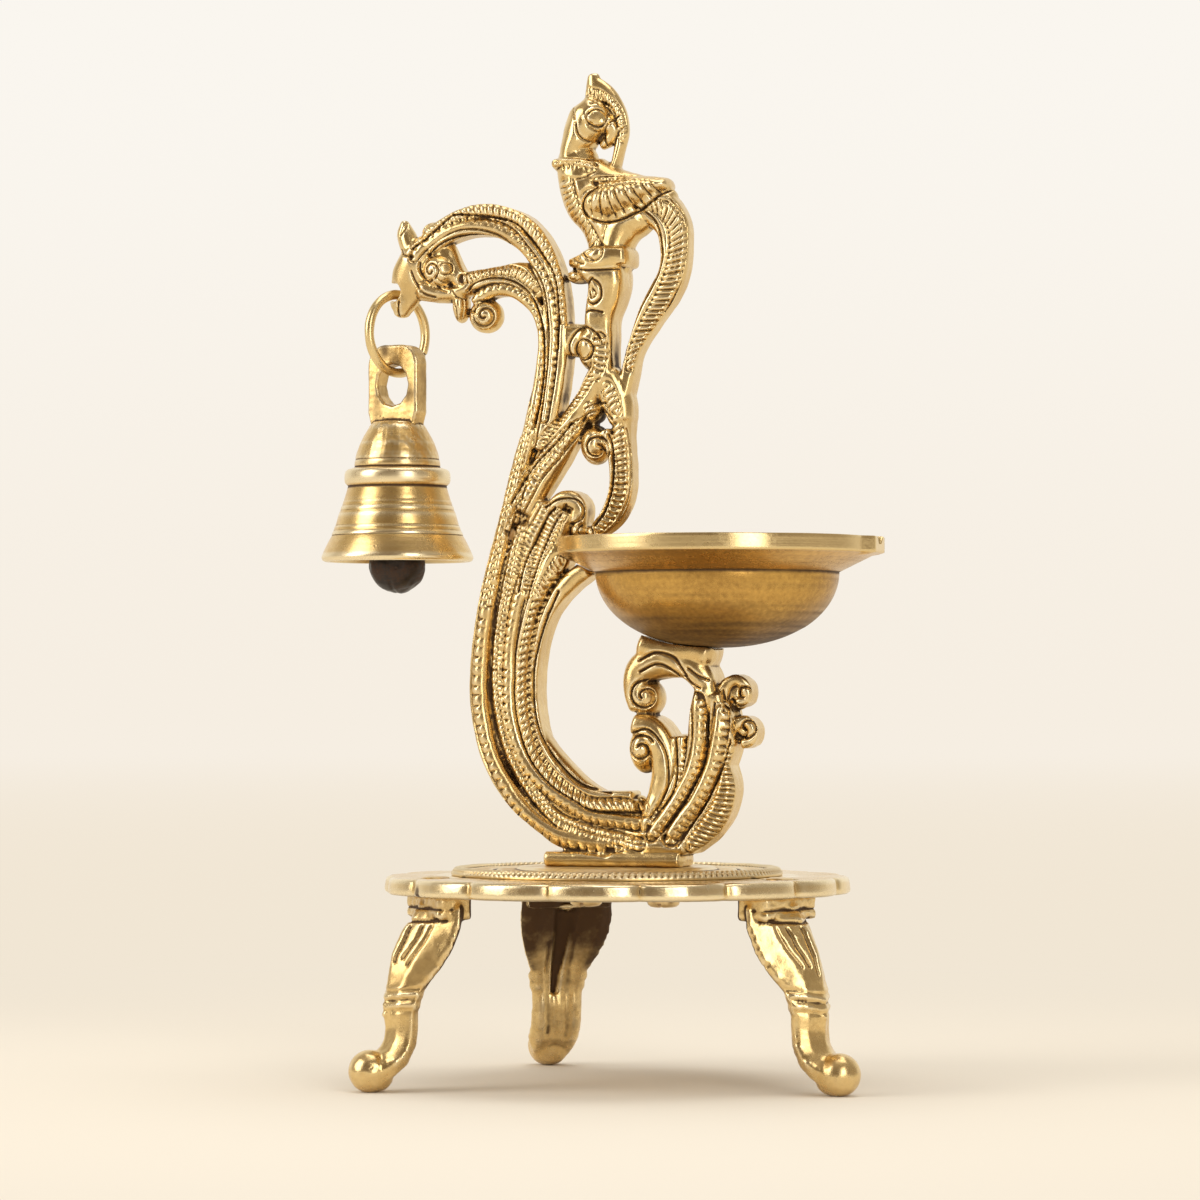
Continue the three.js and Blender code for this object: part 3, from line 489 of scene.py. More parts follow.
# The casting. A groove is (depth, width, spots), a row of a pattern (kind, pitch, depth, width, spots), and
# a spot is (x from the middle of the stand, height above the disc), with a width where it has its own.
castingStrokes = [
    # the crescent
    row("beads", 2.4, 0.7, 4.3,
        (-1.3, 4.9), (-8, 5.9), (-15.3, 7.8), (-22.6, 13.2), (-28.4, 22.1), (-32.1, 31.1), (-33.9, 39.6),
        (-34.2, 48), (-33.4, 56, 4.1), (-32.3, 63.5, 4.1)),
    row("pebbles", 1.9, 0.5, 2.8,
        (-32.3, 64.5, 3.8), (-30.8, 72.2, 3.8), (-28.7, 80.9), (-26.8, 89.6), (-24.7, 98.3),
        (-22.4, 107, 2.3), (-21.1, 112.7, 2.3)),
    row("pebbles", 1.5, 0.6, 3.3,
        (7.5, 5.5), (2.3, 6.9), (-5.4, 8.4), (-13.2, 11.3), (-16.9, 14.2), (-22.1, 20.7), (-26.3, 28.6),
        (-28.9, 38.1), (-29.7, 48), (-28.9, 59.5), (-27.3, 68.5), (-25.3, 76.9), (-23.2, 83.9)),
    row("beads", 2.1, 0.75, 3.6,
        (9.6, 10.5), (4.9, 10.9), (-4.9, 12.3), (-11.2, 15.3), (-17.4, 19.7), (-22.6, 25.6), (-25.5, 33.1),
        (-26.8, 41.1), (-26.8, 48), (-26.6, 54), (-25.3, 62), (-23.7, 67.9), (-22.1, 72.9)),
    row("hatch", 1.9, 0.7, 3.3,
        (8.5, 14.4), (2.3, 15.3), (-4.9, 15.3), (-10.1, 17.7), (-15.3, 21.7), (-19, 26.6), (-21.6, 33.1),
        (-22.6, 39.1), (-22.9, 46), (-22.1, 53), (-20.5, 60, 2.8), (-18.5, 65.9), (-15.3, 71.9), slant=0.5),
    groove(0.6, 0.8,
        (-14.3, 9.8), (-20, 14.7), (-25.3, 22.1), (-29.2, 30.6), (-31.3, 39.6), (-31.5, 48), (-30.8, 56),
        (-29.4, 64.5), (-27.6, 73.4), (-25.5, 82.1), (-23.7, 89.6), (-21.6, 98.3)),
    groove(0.8, 0.8,
        (7.5, 13.4), (-3.9, 13.6), (-9.6, 16.3), (-15.8, 20.2), (-20.8, 26.1), (-23.7, 33.1), (-25, 40.1),
        (-25, 47), (-24.5, 53.5), (-23.2, 60.5), (-21.1, 67.9), (-18.5, 75.4), (-15.3, 82.8),
        (-11.7, 89.4)),
    groove(1.2, 1,
        (-0.3, 18.1), (-8, 20.2), (-13.8, 25.2), (-17.9, 31.1), (-20, 38.1), (-20.3, 48), (-19, 55),
        (-16.9, 61.4), (-13.8, 67.9)),
    # the feathers at its top
    row("hatch", 1.15, 0.6, 4.6,
        (-22.4, 68.4), (-20.3, 75.9, 5.6), (-17.7, 80.8, 6.1), (-15.1, 85.3, 5.1),
        (-13.5, 86.7, 3.6), slant=0.25),
    row("scales", 1.3, 0.6, 3.6,
        (-26.6, 70.4, 3.1), (-24.5, 75.9), (-21.8, 80.4), (-19.2, 84.3), (-17.1, 88.8, 2.6)),
    row("hatch", 1.3, 0.5, 2.6, (-18.7, 66.9), (-16.1, 71.9), (-13.5, 75.8), slant=-0.5),
    groove(1, 0.9, (-23.9, 67.9), (-22.4, 74.4), (-19.8, 80.3), (-16.6, 86.3), (-14.5, 88.7)),
    groove(0.9, 0.8, (-17.1, 88.8), (-13.5, 90.7), (-9.3, 90.7), (-7.3, 88.6), (-7.8, 85.7), (-10.4, 84.7)),
    groove(0.7, 0.6, (-14.5, 86.7), (-11.9, 88.7), (-9.9, 88.2)),
    groove(0.8, 0.8, *spiral(-7.5, 82.5, 3.6, 0.8, 1.25, 160)),
    # the neck
    row("pebbles", 1.8, 0.7, 3.6,
        (-27.6, 83.4), (-23.9, 90.8, 4.8), (-20.3, 97.3, 5.1), (-15.6, 102.2, 4.6), (-11.4, 106.6),
        (-8.3, 109, 2.6)),
    row("hatch", 1.25, 0.6, 2,
        (-18.7, 104.7), (-14.5, 109.1), (-10.9, 113), (-7.3, 117.4), (-4.7, 121.3), slant=0.5),
    groove(1, 0.9, (-26, 89.9), (-22.4, 96.3), (-18.7, 100.7), (-14, 105.1), (-10.4, 109.5)),
    groove(1, 0.95, *spiral(-3.9, 103.2, 4.1, 1, 1.6, 200)),
    groove(0.8, 0.8, (-8.3, 109.5), (-5.7, 111.9), (-2.1, 112.4), (0, 110.3)),
    groove(0.8, 0.6, (-6.7, 112.9), (-4.1, 114.4), (-1.6, 114.3)),
    row("hatch", 1.5, 0.6, 3.1, (-1, 118.3), (0, 115.3, 3.6), (1, 112.3), slant=0.3),
    # the moon below the tail
    row("hatch", 1.5, 0.55, 3.6,
        (0.8, 109.1), (1.6, 105.4), (2.1, 100.4), (2.1, 95.5), (1, 90.5), (-1, 86.1, 2.8),
        (-3.6, 83.2, 2), slant=0.2),
    groove(1.3, 1, (-1, 106.4), (0, 102.9), (0.3, 98), (-0.3, 92.5), (-2.1, 87.6), (-4.7, 84.2)),
    groove(0.6, 0.6, (3.6, 107.8), (4.4, 101.6), (4.4, 95.4), (3.4, 89.8), (1, 85.1)),
    # the arch
    row("hatch", 1.75, 0.6, 3.3,
        (-51.3, 154.8, 2.8), (-47.6, 158.2, 3.1), (-42.3, 161.3, 3.1), (-37.1, 162.9, 3.1), (-31.8, 163),
        (-26.6, 161.3), (-21.3, 157.9), (-17.4, 153.6), (-14.8, 147.8), (-13.5, 142.8),
        (-13, 135.9), slant=0.25),
    row("beads", 1.85, 0.75, 3.1,
        (-51.9, 151.8, 2.6), (-50.3, 153.8, 2.8), (-46, 157.1), (-40.8, 159.5), (-35.5, 159.8),
        (-30.8, 158.7), (-26.6, 156.6), (-23.4, 153), (-20.3, 149), (-17.7, 144.4), (-16.1, 139.4),
        (-15.1, 132.9, 2.3), (-15.6, 123, 2.3), (-17.4, 110.6, 2)),
    groove(1, 0.8,
        (-52.4, 153.8), (-48.2, 156.7), (-43.4, 160.6), (-40.8, 162), (-31.8, 161.2), (-25.5, 159.6),
        (-21.3, 155.5), (-18.2, 151.4), (-15.6, 147.4), (-14.3, 142.4), (-13.8, 135.4), (-14, 128)),
    groove(0.9, 0.8,
        (-48.2, 152.2), (-44.5, 155.1), (-39.7, 156.7), (-34.4, 156.8), (-29.2, 155.2), (-25, 152.6),
        (-21.8, 149.5), (-18.7, 145.4), (-17.1, 139.9), (-16.6, 133), (-16.9, 123), (-18.5, 110.6),
        (-20.8, 100.7)),
    row("hatch", 1.05, 0.8, 2.6,
        (-39.2, 146, 2.3), (-37.1, 146.4), (-34.4, 147.6), (-29.2, 148.2), (-23.9, 146.6), (-20.3, 143, 2)),
    row("beads", 1.75, 0.7, 3.3,
        (-37.1, 139.4, 3.1), (-35.5, 141.4), (-30.8, 143), (-26.6, 142.4), (-22.4, 139.6),
        (-20.3, 135.5, 3.1), (-19, 130.5, 2.8), (-19, 123.1, 2.8), (-19.8, 115.6, 2.8),
        (-21.1, 109.4, 2.3)),
    groove(0.9, 0.8,
        (-38.1, 142.9), (-36, 144.9), (-31.3, 146), (-26, 145.1), (-21.8, 142), (-19.2, 137.5),
        (-17.9, 131.5), (-17.7, 123.1), (-18.7, 115.1), (-20, 109.7)),
    groove(0.7, 0.8, (-36.5, 139.9), (-35, 140.4), (-32.3, 140.3), (-30.8, 139.8)),
    groove(0.5, 0.6, (-36, 138.4), (-35.5, 136.4), (-34.7, 134.9)),
    groove(0.6, 0.6, (-41.8, 143), (-40.8, 141.5), (-38.1, 140.9)),
    groove(0.6, 0.6, (-41.6, 140.5), (-40.8, 138.5), (-41, 136)),
    groove(0.6, 0.6, (-39.2, 140.5), (-39.2, 138.5), (-39.7, 136.5)),
    groove(0.8, 1.1, *spiral(-33.4, 136.8, 3.2, 0.6, 1.4, 150)),
    # the beaked head
    groove(0.9, 0.9, (-50.5, 150.3), (-50.5, 148.2), (-49.5, 146.7), (-47.9, 145.4), (-46.8, 145.9)),
    groove(0.8, 0.8, *spiral(-47.1, 148.2, 2.3, 0.5, 1.1, -60)),
    groove(0.6, 0.6, *circle(-43.4, 148.6, 1.5)),
    groove(0.5, 0.6, (-45.8, 146.6), (-44.2, 145.1), (-42.1, 144.5)),
    groove(0.5, 0.6, (-46.3, 145.1), (-45, 143.6), (-43.1, 142.8)),
    groove(0.7, 0.8, (-52.7, 148.3), (-51.6, 145.3), (-49.5, 142.7), (-46.3, 141.6)),
    groove(0.7, 0.8, (-55.9, 153.9), (-54.8, 152.4), (-52.7, 151.8)),
    groove(0.8, 0.8, (-56.4, 140.9), (-56.7, 138.9), (-56.4, 136.4)),
    groove(0.6, 0.8, (-55.9, 157.4), (-54.8, 159.4), (-54.8, 161.4)),
    # the post and the perch
    groove(0.9, 0.9, *circle(-7, 127.6, 2.5)),
    groove(0.8, 0.8,
        (-10.6, 124.9), (-11.2, 128.9), (-9.1, 132.3), (-6.5, 133.2), (-3.9, 131.7), (-2.3, 129.2)),
    row("hatch", 1.6, 0.7, 3.1, (-2.8, 130.2), (-2.3, 127.2, 3.3), (-2.8, 124.3), (-3.9, 121.3, 2.6)),
    groove(0.9, 0.9,
        (-4.4, 145.1), (-2.3, 143.1), (-2.3, 140.1), (-4.4, 138.7), (-6, 140.2), (-6, 143.1),
        (-4.4, 145.1)),
    groove(0.7, 0.6, (-4.4, 142.6), (-3.4, 141.1), (-4.7, 140.1), (-5.2, 141.6)),
    groove(0.8, 0.8, (-8, 136.3), (-4.9, 137.2), (-1.8, 136.6)),
    groove(0.9, 0.8, (-12.2, 148.3), (-6.5, 147.1), (-0.8, 147), (4.9, 147.3)),
    groove(0.6, 0.6, (-10.6, 150.7), (-8.6, 149.2), (-6.5, 148.6)),
    groove(0.6, 0.6, (-7.5, 152.6), (-6, 150.6), (-3.9, 149.5)),
    groove(0.5, 0.6, *circle(-10.4, 146.2, 1.2)),
    # the parrot
    row("hatch", 1.1, 0.5, 2.3,
        (-7.3, 191.8), (-4.1, 190.7), (-1.6, 189.1), (0.5, 186.5), (1.6, 183.5),
        (2.1, 179.6, 1.8), slant=0.5),
    groove(0.6, 0.6, (-7.3, 190.3), (-4.7, 188.9), (-2.1, 187.4), (-0.3, 185.1), (0.8, 182.6)),
    groove(0.8, 0.8, (-5.4, 188.2), (-3.4, 188.9), (-1.3, 187.8), (0, 185.6)),
    groove(0.9, 0.8, *circle(-3.9, 184.7, 2.1)),
    groove(0.7, 0.6, (-6, 183.8), (-5.4, 182.3), (-3.9, 181.2)),
    groove(0.8, 0.8, (-8.8, 183.4), (-8.3, 180.9), (-6.5, 179.1), (-4.4, 179)),
    groove(0.9, 0.8, (-2.1, 178.2), (-2.6, 180.7), (-1.6, 183.1), (1, 185.3)),
    groove(0.6, 0.6, (0, 178.6), (1, 181.1), (2.6, 183)),
    groove(0.5, 0.6, (-9.9, 187.4), (-9.6, 185.9), (-9.1, 184.4)),
    row("beads", 1.45, 0.6, 4.1,
        (-16.4, 172.5), (-13.8, 172.1), (-10.6, 171.8), (-7.5, 171.9), (-4.9, 172.4, 2.8)),
    row("scales", 1.5, 0.7, 6.6,
        (-12.2, 169.1, 5.6), (-11.7, 165.1), (-9.6, 160.1), (-6.5, 155.1, 6.1), (-3.9, 151.5, 4.6)),
    groove(1.1, 0.9,
        (-3.1, 167.3), (-5.7, 165.4), (-6.7, 163), (-5.7, 160.5), (-2.1, 158.9), (3.1, 159.5),
        (8.3, 162.3), (13.4, 165.9), (17, 167.2)),
    row("hatch", 2.3, 0.75, 6.6,
        (-4.1, 163.9), (-0.5, 163.3, 7.7), (4.1, 164.2, 7.1), (8.8, 166, 5.1),
        (12.4, 167.9, 3.1), slant=0.15),
    row("pebbles", 1.35, 0.5, 2.3, (-3.1, 168.8), (1, 168.9), (5.7, 169.1), (10.3, 168.4)),
    groove(0.9, 0.8,
        (5.9, 162.6), (9, 161), (11.6, 158), (12.6, 153.5), (12.6, 149.1), (10.6, 143.7), (7.5, 138.4),
        (4.4, 132), (2.8, 125.1)),
    row("hatch", 1.45, 0.8, 4.3,
        (10.1, 163, 3.1), (13.7, 161.4, 4.1), (16.2, 157.4), (16.7, 152), (15.2, 145.6), (12.6, 139.7),
        (9, 133.9, 3.8), (5.9, 128.5, 2.8), (4.4, 123.1, 2.3), slant=0.75),
    groove(0.6, 0.6,
        (14.7, 164.3), (18.3, 159.8), (19.3, 152.9), (18.3, 146), (15.2, 139.7), (11.6, 133.8), (8, 128),
        (6.5, 122.6)),
    # the pedestal of the bowl
    groove(0.9, 1, (8, 50.9), (12.1, 52.7), (16.5, 51.7), (18.5, 49.2), (19.8, 47)),
    groove(0.9, 0.9, (8, 48), (12.1, 49.9), (15, 49.2), (17.3, 47.5), (18.3, 45.5)),
    groove(1.1, 1, *spiral(9, 42.1, 4.2, 0.8, 1.5, 40)),
    groove(1, 1, *spiral(8, 29, 3.8, 0.9, 1.3, 30)),
    groove(1, 0.9,
        (5.4, 32.9), (9.8, 33.9), (13.4, 30.5), (15, 26.3), (15, 20.4), (12.9, 15.4), (10.6, 12.4)),
    groove(1.1, 0.9,
        (16.2, 41.1), (16.7, 35.2), (17, 29), (17.3, 23.8), (16.5, 19.1), (14.2, 15.4), (11.4, 12.7)),
    row("beads", 1.6, 0.7, 2.3,
        (18.3, 39.1), (18.5, 33.7), (18.5, 29.2), (17.8, 24.3), (16.2, 19.4), (13.2, 14.4)),
    row("beads", 1.85, 0.9, 3.6,
        (22.6, 41.1), (23.2, 36.1), (23.2, 32), (22.4, 27), (20.9, 22.4), (18.5, 18.2), (15.7, 14),
        (12.4, 10), (10.6, 7.5, 2.6)),
    groove(1, 0.9,
        (27, 40.3), (26, 34.7), (24.9, 29), (23.7, 24.6), (20.9, 19.2), (17.3, 13.7), (13.4, 8.8)),
    row("beads", 2, 0.9, 3.8,
        (28.8, 38.1, 3.3), (28.3, 33.5), (27, 27.3), (26, 23.9), (24.2, 19.7), (21.9, 15.7), (18.5, 11.5),
        (15.7, 7.1)),
    groove(1, 0.9, (30.6, 31.2), (29, 25.8), (27.5, 22.1), (24.4, 16.2), (20.9, 10.8), (17.5, 5.3)),
    row("hatch", 1.35, 0.8, 5.1,
        (31.3, 28.3, 4.1), (30.8, 23.6), (29.5, 18.7), (27.5, 13.8), (24.2, 9.1),
        (20.9, 5.1, 3.6), slant=0.5),
    groove(0.7, 0.6, (33.9, 26.4), (33.6, 21.4), (32.1, 15.1), (29, 10.1), (24.9, 5.7)),
    groove(0.8, 0.8, (19.3, 47), (21.4, 45), (23.4, 44)),
    groove(0.8, 0.8, (20.3, 48.9), (22.9, 47), (25.5, 46)),
    groove(0.9, 0.9, *spiral(33.6, 42.5, 3.3, 0.7, 1.2, 200)),
    groove(0.9, 0.9, *spiral(34.4, 34.4, 3.4, 0.7, 1.2, 160)),
    groove(0.8, 0.8, (28.5, 43.5), (29.5, 39.6), (32.1, 38.1)),
]

# Its bars, as (section, width, depth, spots), a spot having a width, or a width and a depth, where these are
# its own. A boss is (x, height, width, depth, tall).
castBars = [
    # the crescent
    bar("rib", 4.6, 12,
        (7, 6, 7.1, 11.6), (-3.4, 5.9, 7.1, 11.8), (-12.2, 7.3, 6.1), (-18.2, 10.5), (-24.2, 15.4),
        (-28.9, 21.6), (-32.1, 28.1), (-33.9, 35.6), (-34.7, 43), (-34.4, 51.5), (-33.6, 59, 4.3),
        (-32.3, 66.5, 4.3, 11.8), (-30.5, 74.5, 4.1, 11.4), (-28.4, 82.7, 3.8, 11),
        (-26.3, 90.9, 3.8, 10.6), (-24.5, 98.3, 3.8, 10.2), (-22.4, 105.7, 3.6, 9.8)),
    bar("slab", 12.8, 8.6,
        (10.1, 10.5, 8.7), (-5.4, 13.8, 11.2), (-15.3, 20.2), (-23.7, 30.6), (-27.3, 43.5),
        (-27.3, 56, 12.2), (-25.3, 68.4, 10.7), (-22.6, 78.4, 8.7, 8.2)),
    bar("rib", 3.8, 10.4,
        (7.5, 5.5), (2.3, 6.9), (-5.4, 8.4), (-13.2, 11.3), (-16.9, 14.2), (-22.1, 20.7), (-26.3, 28.6),
        (-28.9, 38.1), (-29.7, 48), (-28.9, 59.5), (-27.3, 68.5), (-25.3, 76.9), (-23.2, 83.9, 2.8)),
    bar("rib", 4.1, 11.8,
        (10.1, 10), (4.9, 10.9), (-4.9, 12.3), (-11.2, 15.3), (-17.4, 19.7), (-22.6, 25.6), (-25.5, 33.1),
        (-26.8, 41.1), (-26.8, 48), (-26.6, 54), (-25.3, 62), (-23.7, 67.9), (-22.1, 72.9),
        (-20.5, 78.9, 3.1, 10.6)),
    bar("rib", 4.3, 11.8,
        (5.7, 14.9, 3.6), (-3.6, 14.8, 3.6), (-10.1, 16.3, 3.8), (-15.8, 20.2, 4.1), (-20, 25.4, 4.1),
        (-22.4, 31.1), (-23.7, 37.3), (-24.2, 43.5), (-23.9, 51), (-22.9, 57.2, 4.3, 11.6),
        (-21.6, 62.9, 4.3, 11.4), (-19.2, 68.9, 4.6, 11.2), (-15.8, 74.1, 6.4, 11),
        (-13.5, 78.3, 6.1, 10.6)),
    bar("rib", 2.8, 9.4,
        (4.7, 17.3), (-4.1, 17.3), (-8.8, 18.7), (-13, 21.7), (-16.6, 25.9), (-19, 31.6), (-20.3, 37.3),
        (-20.8, 43.5), (-20.5, 49), (-19.8, 54.7, 3.1), (-17.9, 60.9, 3.3), (-15.1, 65.9, 3.8, 9.6),
        (-11.4, 70.1, 4.6, 9.8), (-7.3, 73.3, 4.6, 9.8)),
    # the feathers at its top
    bar("rib", 6.6, 11.8,
        (-20.5, 65.4, 5.1, 11.6), (-18.7, 72.1, 6.1), (-16.6, 78.8), (-14.5, 83.8),
        (-13.2, 87.2, 5.1, 11.4)),
    bar("rib", 5.6, 9.8, (-25, 67.9, 5.1, 9.6), (-22.9, 75.4, 6.1), (-20.3, 82.6, 7.7), (-17.4, 88.8)),
    bar("rib", 3.6, 10.6,
        (-16.9, 85.3), (-14.3, 89.7, 4.1, 10.8), (-10.9, 90.7, 4.6, 10.8), (-8.8, 88.7, 4.1),
        (-9.3, 85.2, 4.1, 10.4)),
    ("boss", -9.1, 83, 5.1, 10.4, 5),
    # the neck up to the post
    bar("rib", 6.4, 10,
        (-23.4, 88.8, 6.6, 9.6), (-19.5, 95.7, 7.7, 9.8), (-16.1, 101.2, 7.9), (-13, 106.1, 7.4),
        (-10.1, 110.8), (-6.7, 115.9, 5.6, 10.4), (-4.4, 120.8, 5.1, 10.8), (-2.3, 124.7, 5.1, 11)),
    ("boss", -5.2, 104.2, 7.4, 12.4, 9.9),
    ("boss", -5.7, 112.7, 5.6, 12, 6.7),
    bar("rib", 8.2, 11, (-1.8, 121.3, 6.6), (-0.3, 117.3), (1, 113.8, 7.7, 10.6), (1.8, 110.3, 6.1, 10)),
    # the moon below the tail
    bar("rib", 4.3, 8,
        (1.3, 115.3, 5.1, 9.4), (2.1, 110.3, 4.8, 9), (1.8, 105.4, 5.1, 8.6), (2.3, 99.2, 5.1, 8.4),
        (2.3, 93.5, 5.1, 8.2), (0.8, 88.6, 5.1), (-2.3, 84.6), (-6, 82.2, 3.1, 7.6)),
    bar("rib", 2.6, 9.4,
        (-2.1, 107.4), (-0.5, 102.9, 2.3), (0.3, 98, 2.3, 9.2), (0, 92.5, 2.3, 9), (-1.8, 87.6, 2.3, 8.8),
        (-4.7, 83.7, 2, 8.4)),
    # the arch
    bar("rib", 3.8, 8.2,
        (-24.2, 98.3, 3.8, 9.8), (-22.1, 105.7, 3.6, 9.8), (-20.8, 111.9, 3.3, 9.6),
        (-19.2, 118.6, 3.3, 9.2), (-18.2, 125.1, 3.3, 9), (-17.9, 131, 3.3, 8.6), (-19.2, 136.5, 3.3, 8.4),
        (-22.1, 140.3, 3.6, 8.4), (-26, 142.9), (-30.2, 143.5), (-33.6, 142.3, 3.6, 8),
        (-36, 140.1, 3.1, 7.6)),
    bar("rib", 4.3, 9,
        (-18.7, 103.7, 3.6, 10), (-17.7, 110.6, 3.3, 10.2), (-16.9, 116.8, 3.1, 10),
        (-16.1, 124.3, 3.3, 9.8), (-15.8, 131, 3.3, 9.6), (-16.1, 137.9, 3.3, 9.4),
        (-17.1, 143.9, 3.6, 9.2), (-19.2, 148.9, 3.8), (-22.4, 153.5, 4.1), (-26.6, 156.6, 4.1),
        (-31.3, 158.5), (-36, 158.9), (-40.5, 158.2), (-44.5, 156.6, 4.3, 8.8), (-48.2, 153.9, 4.3, 8.6)),
    bar("rib", 4.1, 8.8,
        (-17.4, 105.2, 2.6, 9), (-15.6, 112.6, 3.1, 9.6), (-14.3, 119.3, 3.1, 9.6),
        (-13.5, 126.7, 3.3, 9.4), (-13.5, 134.1, 3.3, 9.2), (-14, 140.9, 3.3, 9), (-15.3, 146.9, 3.6),
        (-17.1, 151.6, 3.8), (-20, 156.2), (-23.9, 159.8), (-28.7, 161.9, 3.8, 8.6),
        (-33.4, 162.8, 3.6, 8.6), (-38.1, 162.2, 3.6, 8.4), (-42.6, 160.5, 3.6, 8.2),
        (-46.6, 158.2, 3.6, 8)),
    bar("rib", 5.6, 7.4,
        (-45.3, 152.4, 7.7, 6.4), (-40.5, 146.2, 4.6, 7.2), (-35.2, 145.6), (-29.4, 146, 6.4),
        (-24.2, 146.1, 7.7), (-19, 144, 8.7)),
    ("boss", -33.9, 136.8, 8.9, 8.8, 8.7),
    ("boss", -40.5, 139.5, 4.1, 8, 8.7),
    # the beaked head
    bar("oval", 10.7, 7.6,
        (-49.5, 154.7, 6.6, 8.4), (-52.1, 151.8, 8.7, 8.6), (-53.5, 147.3), (-55.1, 143.3, 8.7, 5.6),
        (-56.1, 140.1, 6.9, 5.2), (-56.4, 138.1, 4.3, 4.6)),
    bar("oval", 5.1, 6.4, (-55.6, 160.7, 2, 3), (-55.3, 157.9, 4.6, 5), (-54, 154.4)),
    ("boss", -45.8, 148.1, 9.4, 11.4, 9.4),
    bar("oval", 4.6, 7.8,
        (-50.3, 143.7, 5.6), (-46, 142.6), (-42.1, 142.5, 4.3, 7.6), (-38.4, 143.7, 3.8, 7.4)),
    # the post and the perch
    bar("slab", 5.6, 11.6,
        (-3.6, 149.5, 12.2, 15), (-1.8, 145, 9.7, 14.4), (-2.1, 141.1, 8.7, 13.6),
        (-3.4, 136.2, 7.7, 12.4), (-3.4, 130.7, 7.1, 12), (-2.8, 125.2), (-2.8, 120.8, 6.1, 11.2)),
    bar("slab", 3.8, 13,
        (-11.2, 149.3, 2.2, 7), (-7.8, 149.5), (-3.6, 150.2, 6, 16), (3.2, 150.4, 5.2, 14)),
    ("boss", -6.2, 128.5, 6.9, 13.2, 11.9),
    ("boss", -9.3, 146, 7.1, 8.4, 3.7),
    bar("slab", 8.2, 8.4, (-13.8, 130.4, 8.2, 8), (-7.5, 130)),
    # the parrot
    bar("oval", 6.4, 12,
        (-3.2, 151), (-3.8, 155.5, 7.6, 13), (-4.4, 159.5, 10.6, 14.8), (-6.1, 163.7, 13.2, 15.4),
        (-8.1, 168, 12.7, 14.6), (-9.6, 172, 11.2, 13.4), (-10.1, 175.5, 10)),
    bar("oval", 13.3, 11.6,
        (-0.3, 148, 7.7, 13), (0, 152.9, 8.2, 12.6), (1.3, 157.3, 10.7, 12), (3.9, 161.2)),
    bar("oval", 10.7, 18.4,
        (-4.9, 163.4, 8.2, 17.8), (-1.3, 164.6), (3.4, 165.9, 9.7, 17), (8.5, 167.2, 6.6, 13.6),
        (13.2, 168.1, 3.6, 10.6)),
    bar("oval", 8.7, 10.8,
        (-5.2, 170.9, 9.2, 12.6), (0.8, 168.5, 7.7, 11.8), (7.2, 166), (12.1, 162.9, 9.7, 9.8)),
    bar("slab", 3.6, 8.2,
        (5.9, 162.9, 6.6, 9), (11.1, 162.2, 9.7, 9), (14.7, 157.9, 8.7, 8.8), (15.5, 152, 7.4, 8.6),
        (15, 146.6, 7.1, 8.4), (12.9, 141.9, 7.4), (9.8, 137.1, 6.6), (7.2, 132.2, 5.1, 8), (4.9, 127.1),
        (3.6, 121.4, 3.6, 8.6), (2.3, 116.2, 3.6, 9)),
    bar("oval", 3.3, 12.8, (-14.8, 173.7), (-9.9, 174, 3.6, 14.6), (-4.9, 172.8)),
    bar("oval", 10.3, 12.6,
        (-11, 173.5, 7.2, 12), (-10.8, 176.7, 7.1, 12.4), (-8.9, 181.2, 9.4, 13), (-6.9, 185.3),
        (-6.3, 188.1, 8.1, 10.5), (-6.4, 189.9, 3.6, 7)),
    bar("oval", 3.1, 2.8, (-6, 195.5), (-5.7, 192, 4.8, 4), (-5.6, 188.8, 5.6, 5.4)),
    bar("oval", 2.6, 5.2,
        (-5.6, 194, 3.4, 3.4), (-2.3, 190.8, 4.4, 4.2), (0.5, 186.5, 3.9, 4.6), (1.5, 181.5, 3.5, 5),
        (0.6, 176.6), (-0.3, 172.7, 2.6, 6.4), (-1, 170.2, 3.1, 8)),
    bar("oval", 2.3, 3.8,
        (-2.8, 183.7, 5.1, 8), (-0.5, 181.9, 4.6, 6.4), (-1.6, 179.7, 3.3, 5.2), (-3.6, 178.3)),
    ("boss", -5.8, 184.5, 4.6, 14.4, 4.6),
    # the pedestal of the bowl
    bar("rib", 8.7, 15,
        (7, 39.6, 5.1, 13.8), (5.9, 43.5, 5.1, 14.4), (7, 48, 7.1, 14.8), (10.6, 50.4), (15.2, 50.9),
        (19.8, 49.9, 7.7), (23.4, 46, 6.1, 14.6), (24.9, 41.1, 4.1, 14)),
    bar("rib", 6.1, 15, (8, 54.4), (14.2, 52.9, 6.6, 15.4), (20.9, 52.9, 7.1, 15.4), (24.4, 51.9)),
    ("boss", 8, 41.6, 8.7, 14.8, 9.7),
    bar("rib", 7.1, 14.6,
        (6.2, 35.1, 5.1, 14), (10.1, 33.9, 6.6, 14.4), (12.9, 29.7), (13.9, 24.3), (12.9, 18.4, 6.6, 14.2),
        (10.6, 12.9, 5.6, 13.8), (9.3, 8, 5.1, 13.4)),
    ("boss", 7.7, 29.2, 7.9, 14.4, 12.4),
    bar("rib", 4.1, 13, (17.5, 31.7, 3.6), (18, 26.3), (16.7, 20.4), (13.9, 14.9), (10.6, 10)),
    bar("rib", 4.6, 15,
        (23.9, 43.5, 4.6, 14.8), (22.6, 37.4), (22.1, 30.7), (20.9, 24.3), (18, 18.4, 4.6, 14.8),
        (14.7, 13.2, 4.6, 14.6), (11.1, 8, 4.6, 14.2)),
    bar("rib", 4.8, 14.4,
        (26.5, 42.1, 4.1, 14), (27.5, 36.6, 4.1, 14.2), (27.2, 30.7, 4.6), (25.7, 24.8), (23.2, 19.2, 5.1),
        (19.6, 13.5, 5.1, 14.2), (15.5, 8, 5.1, 14)),
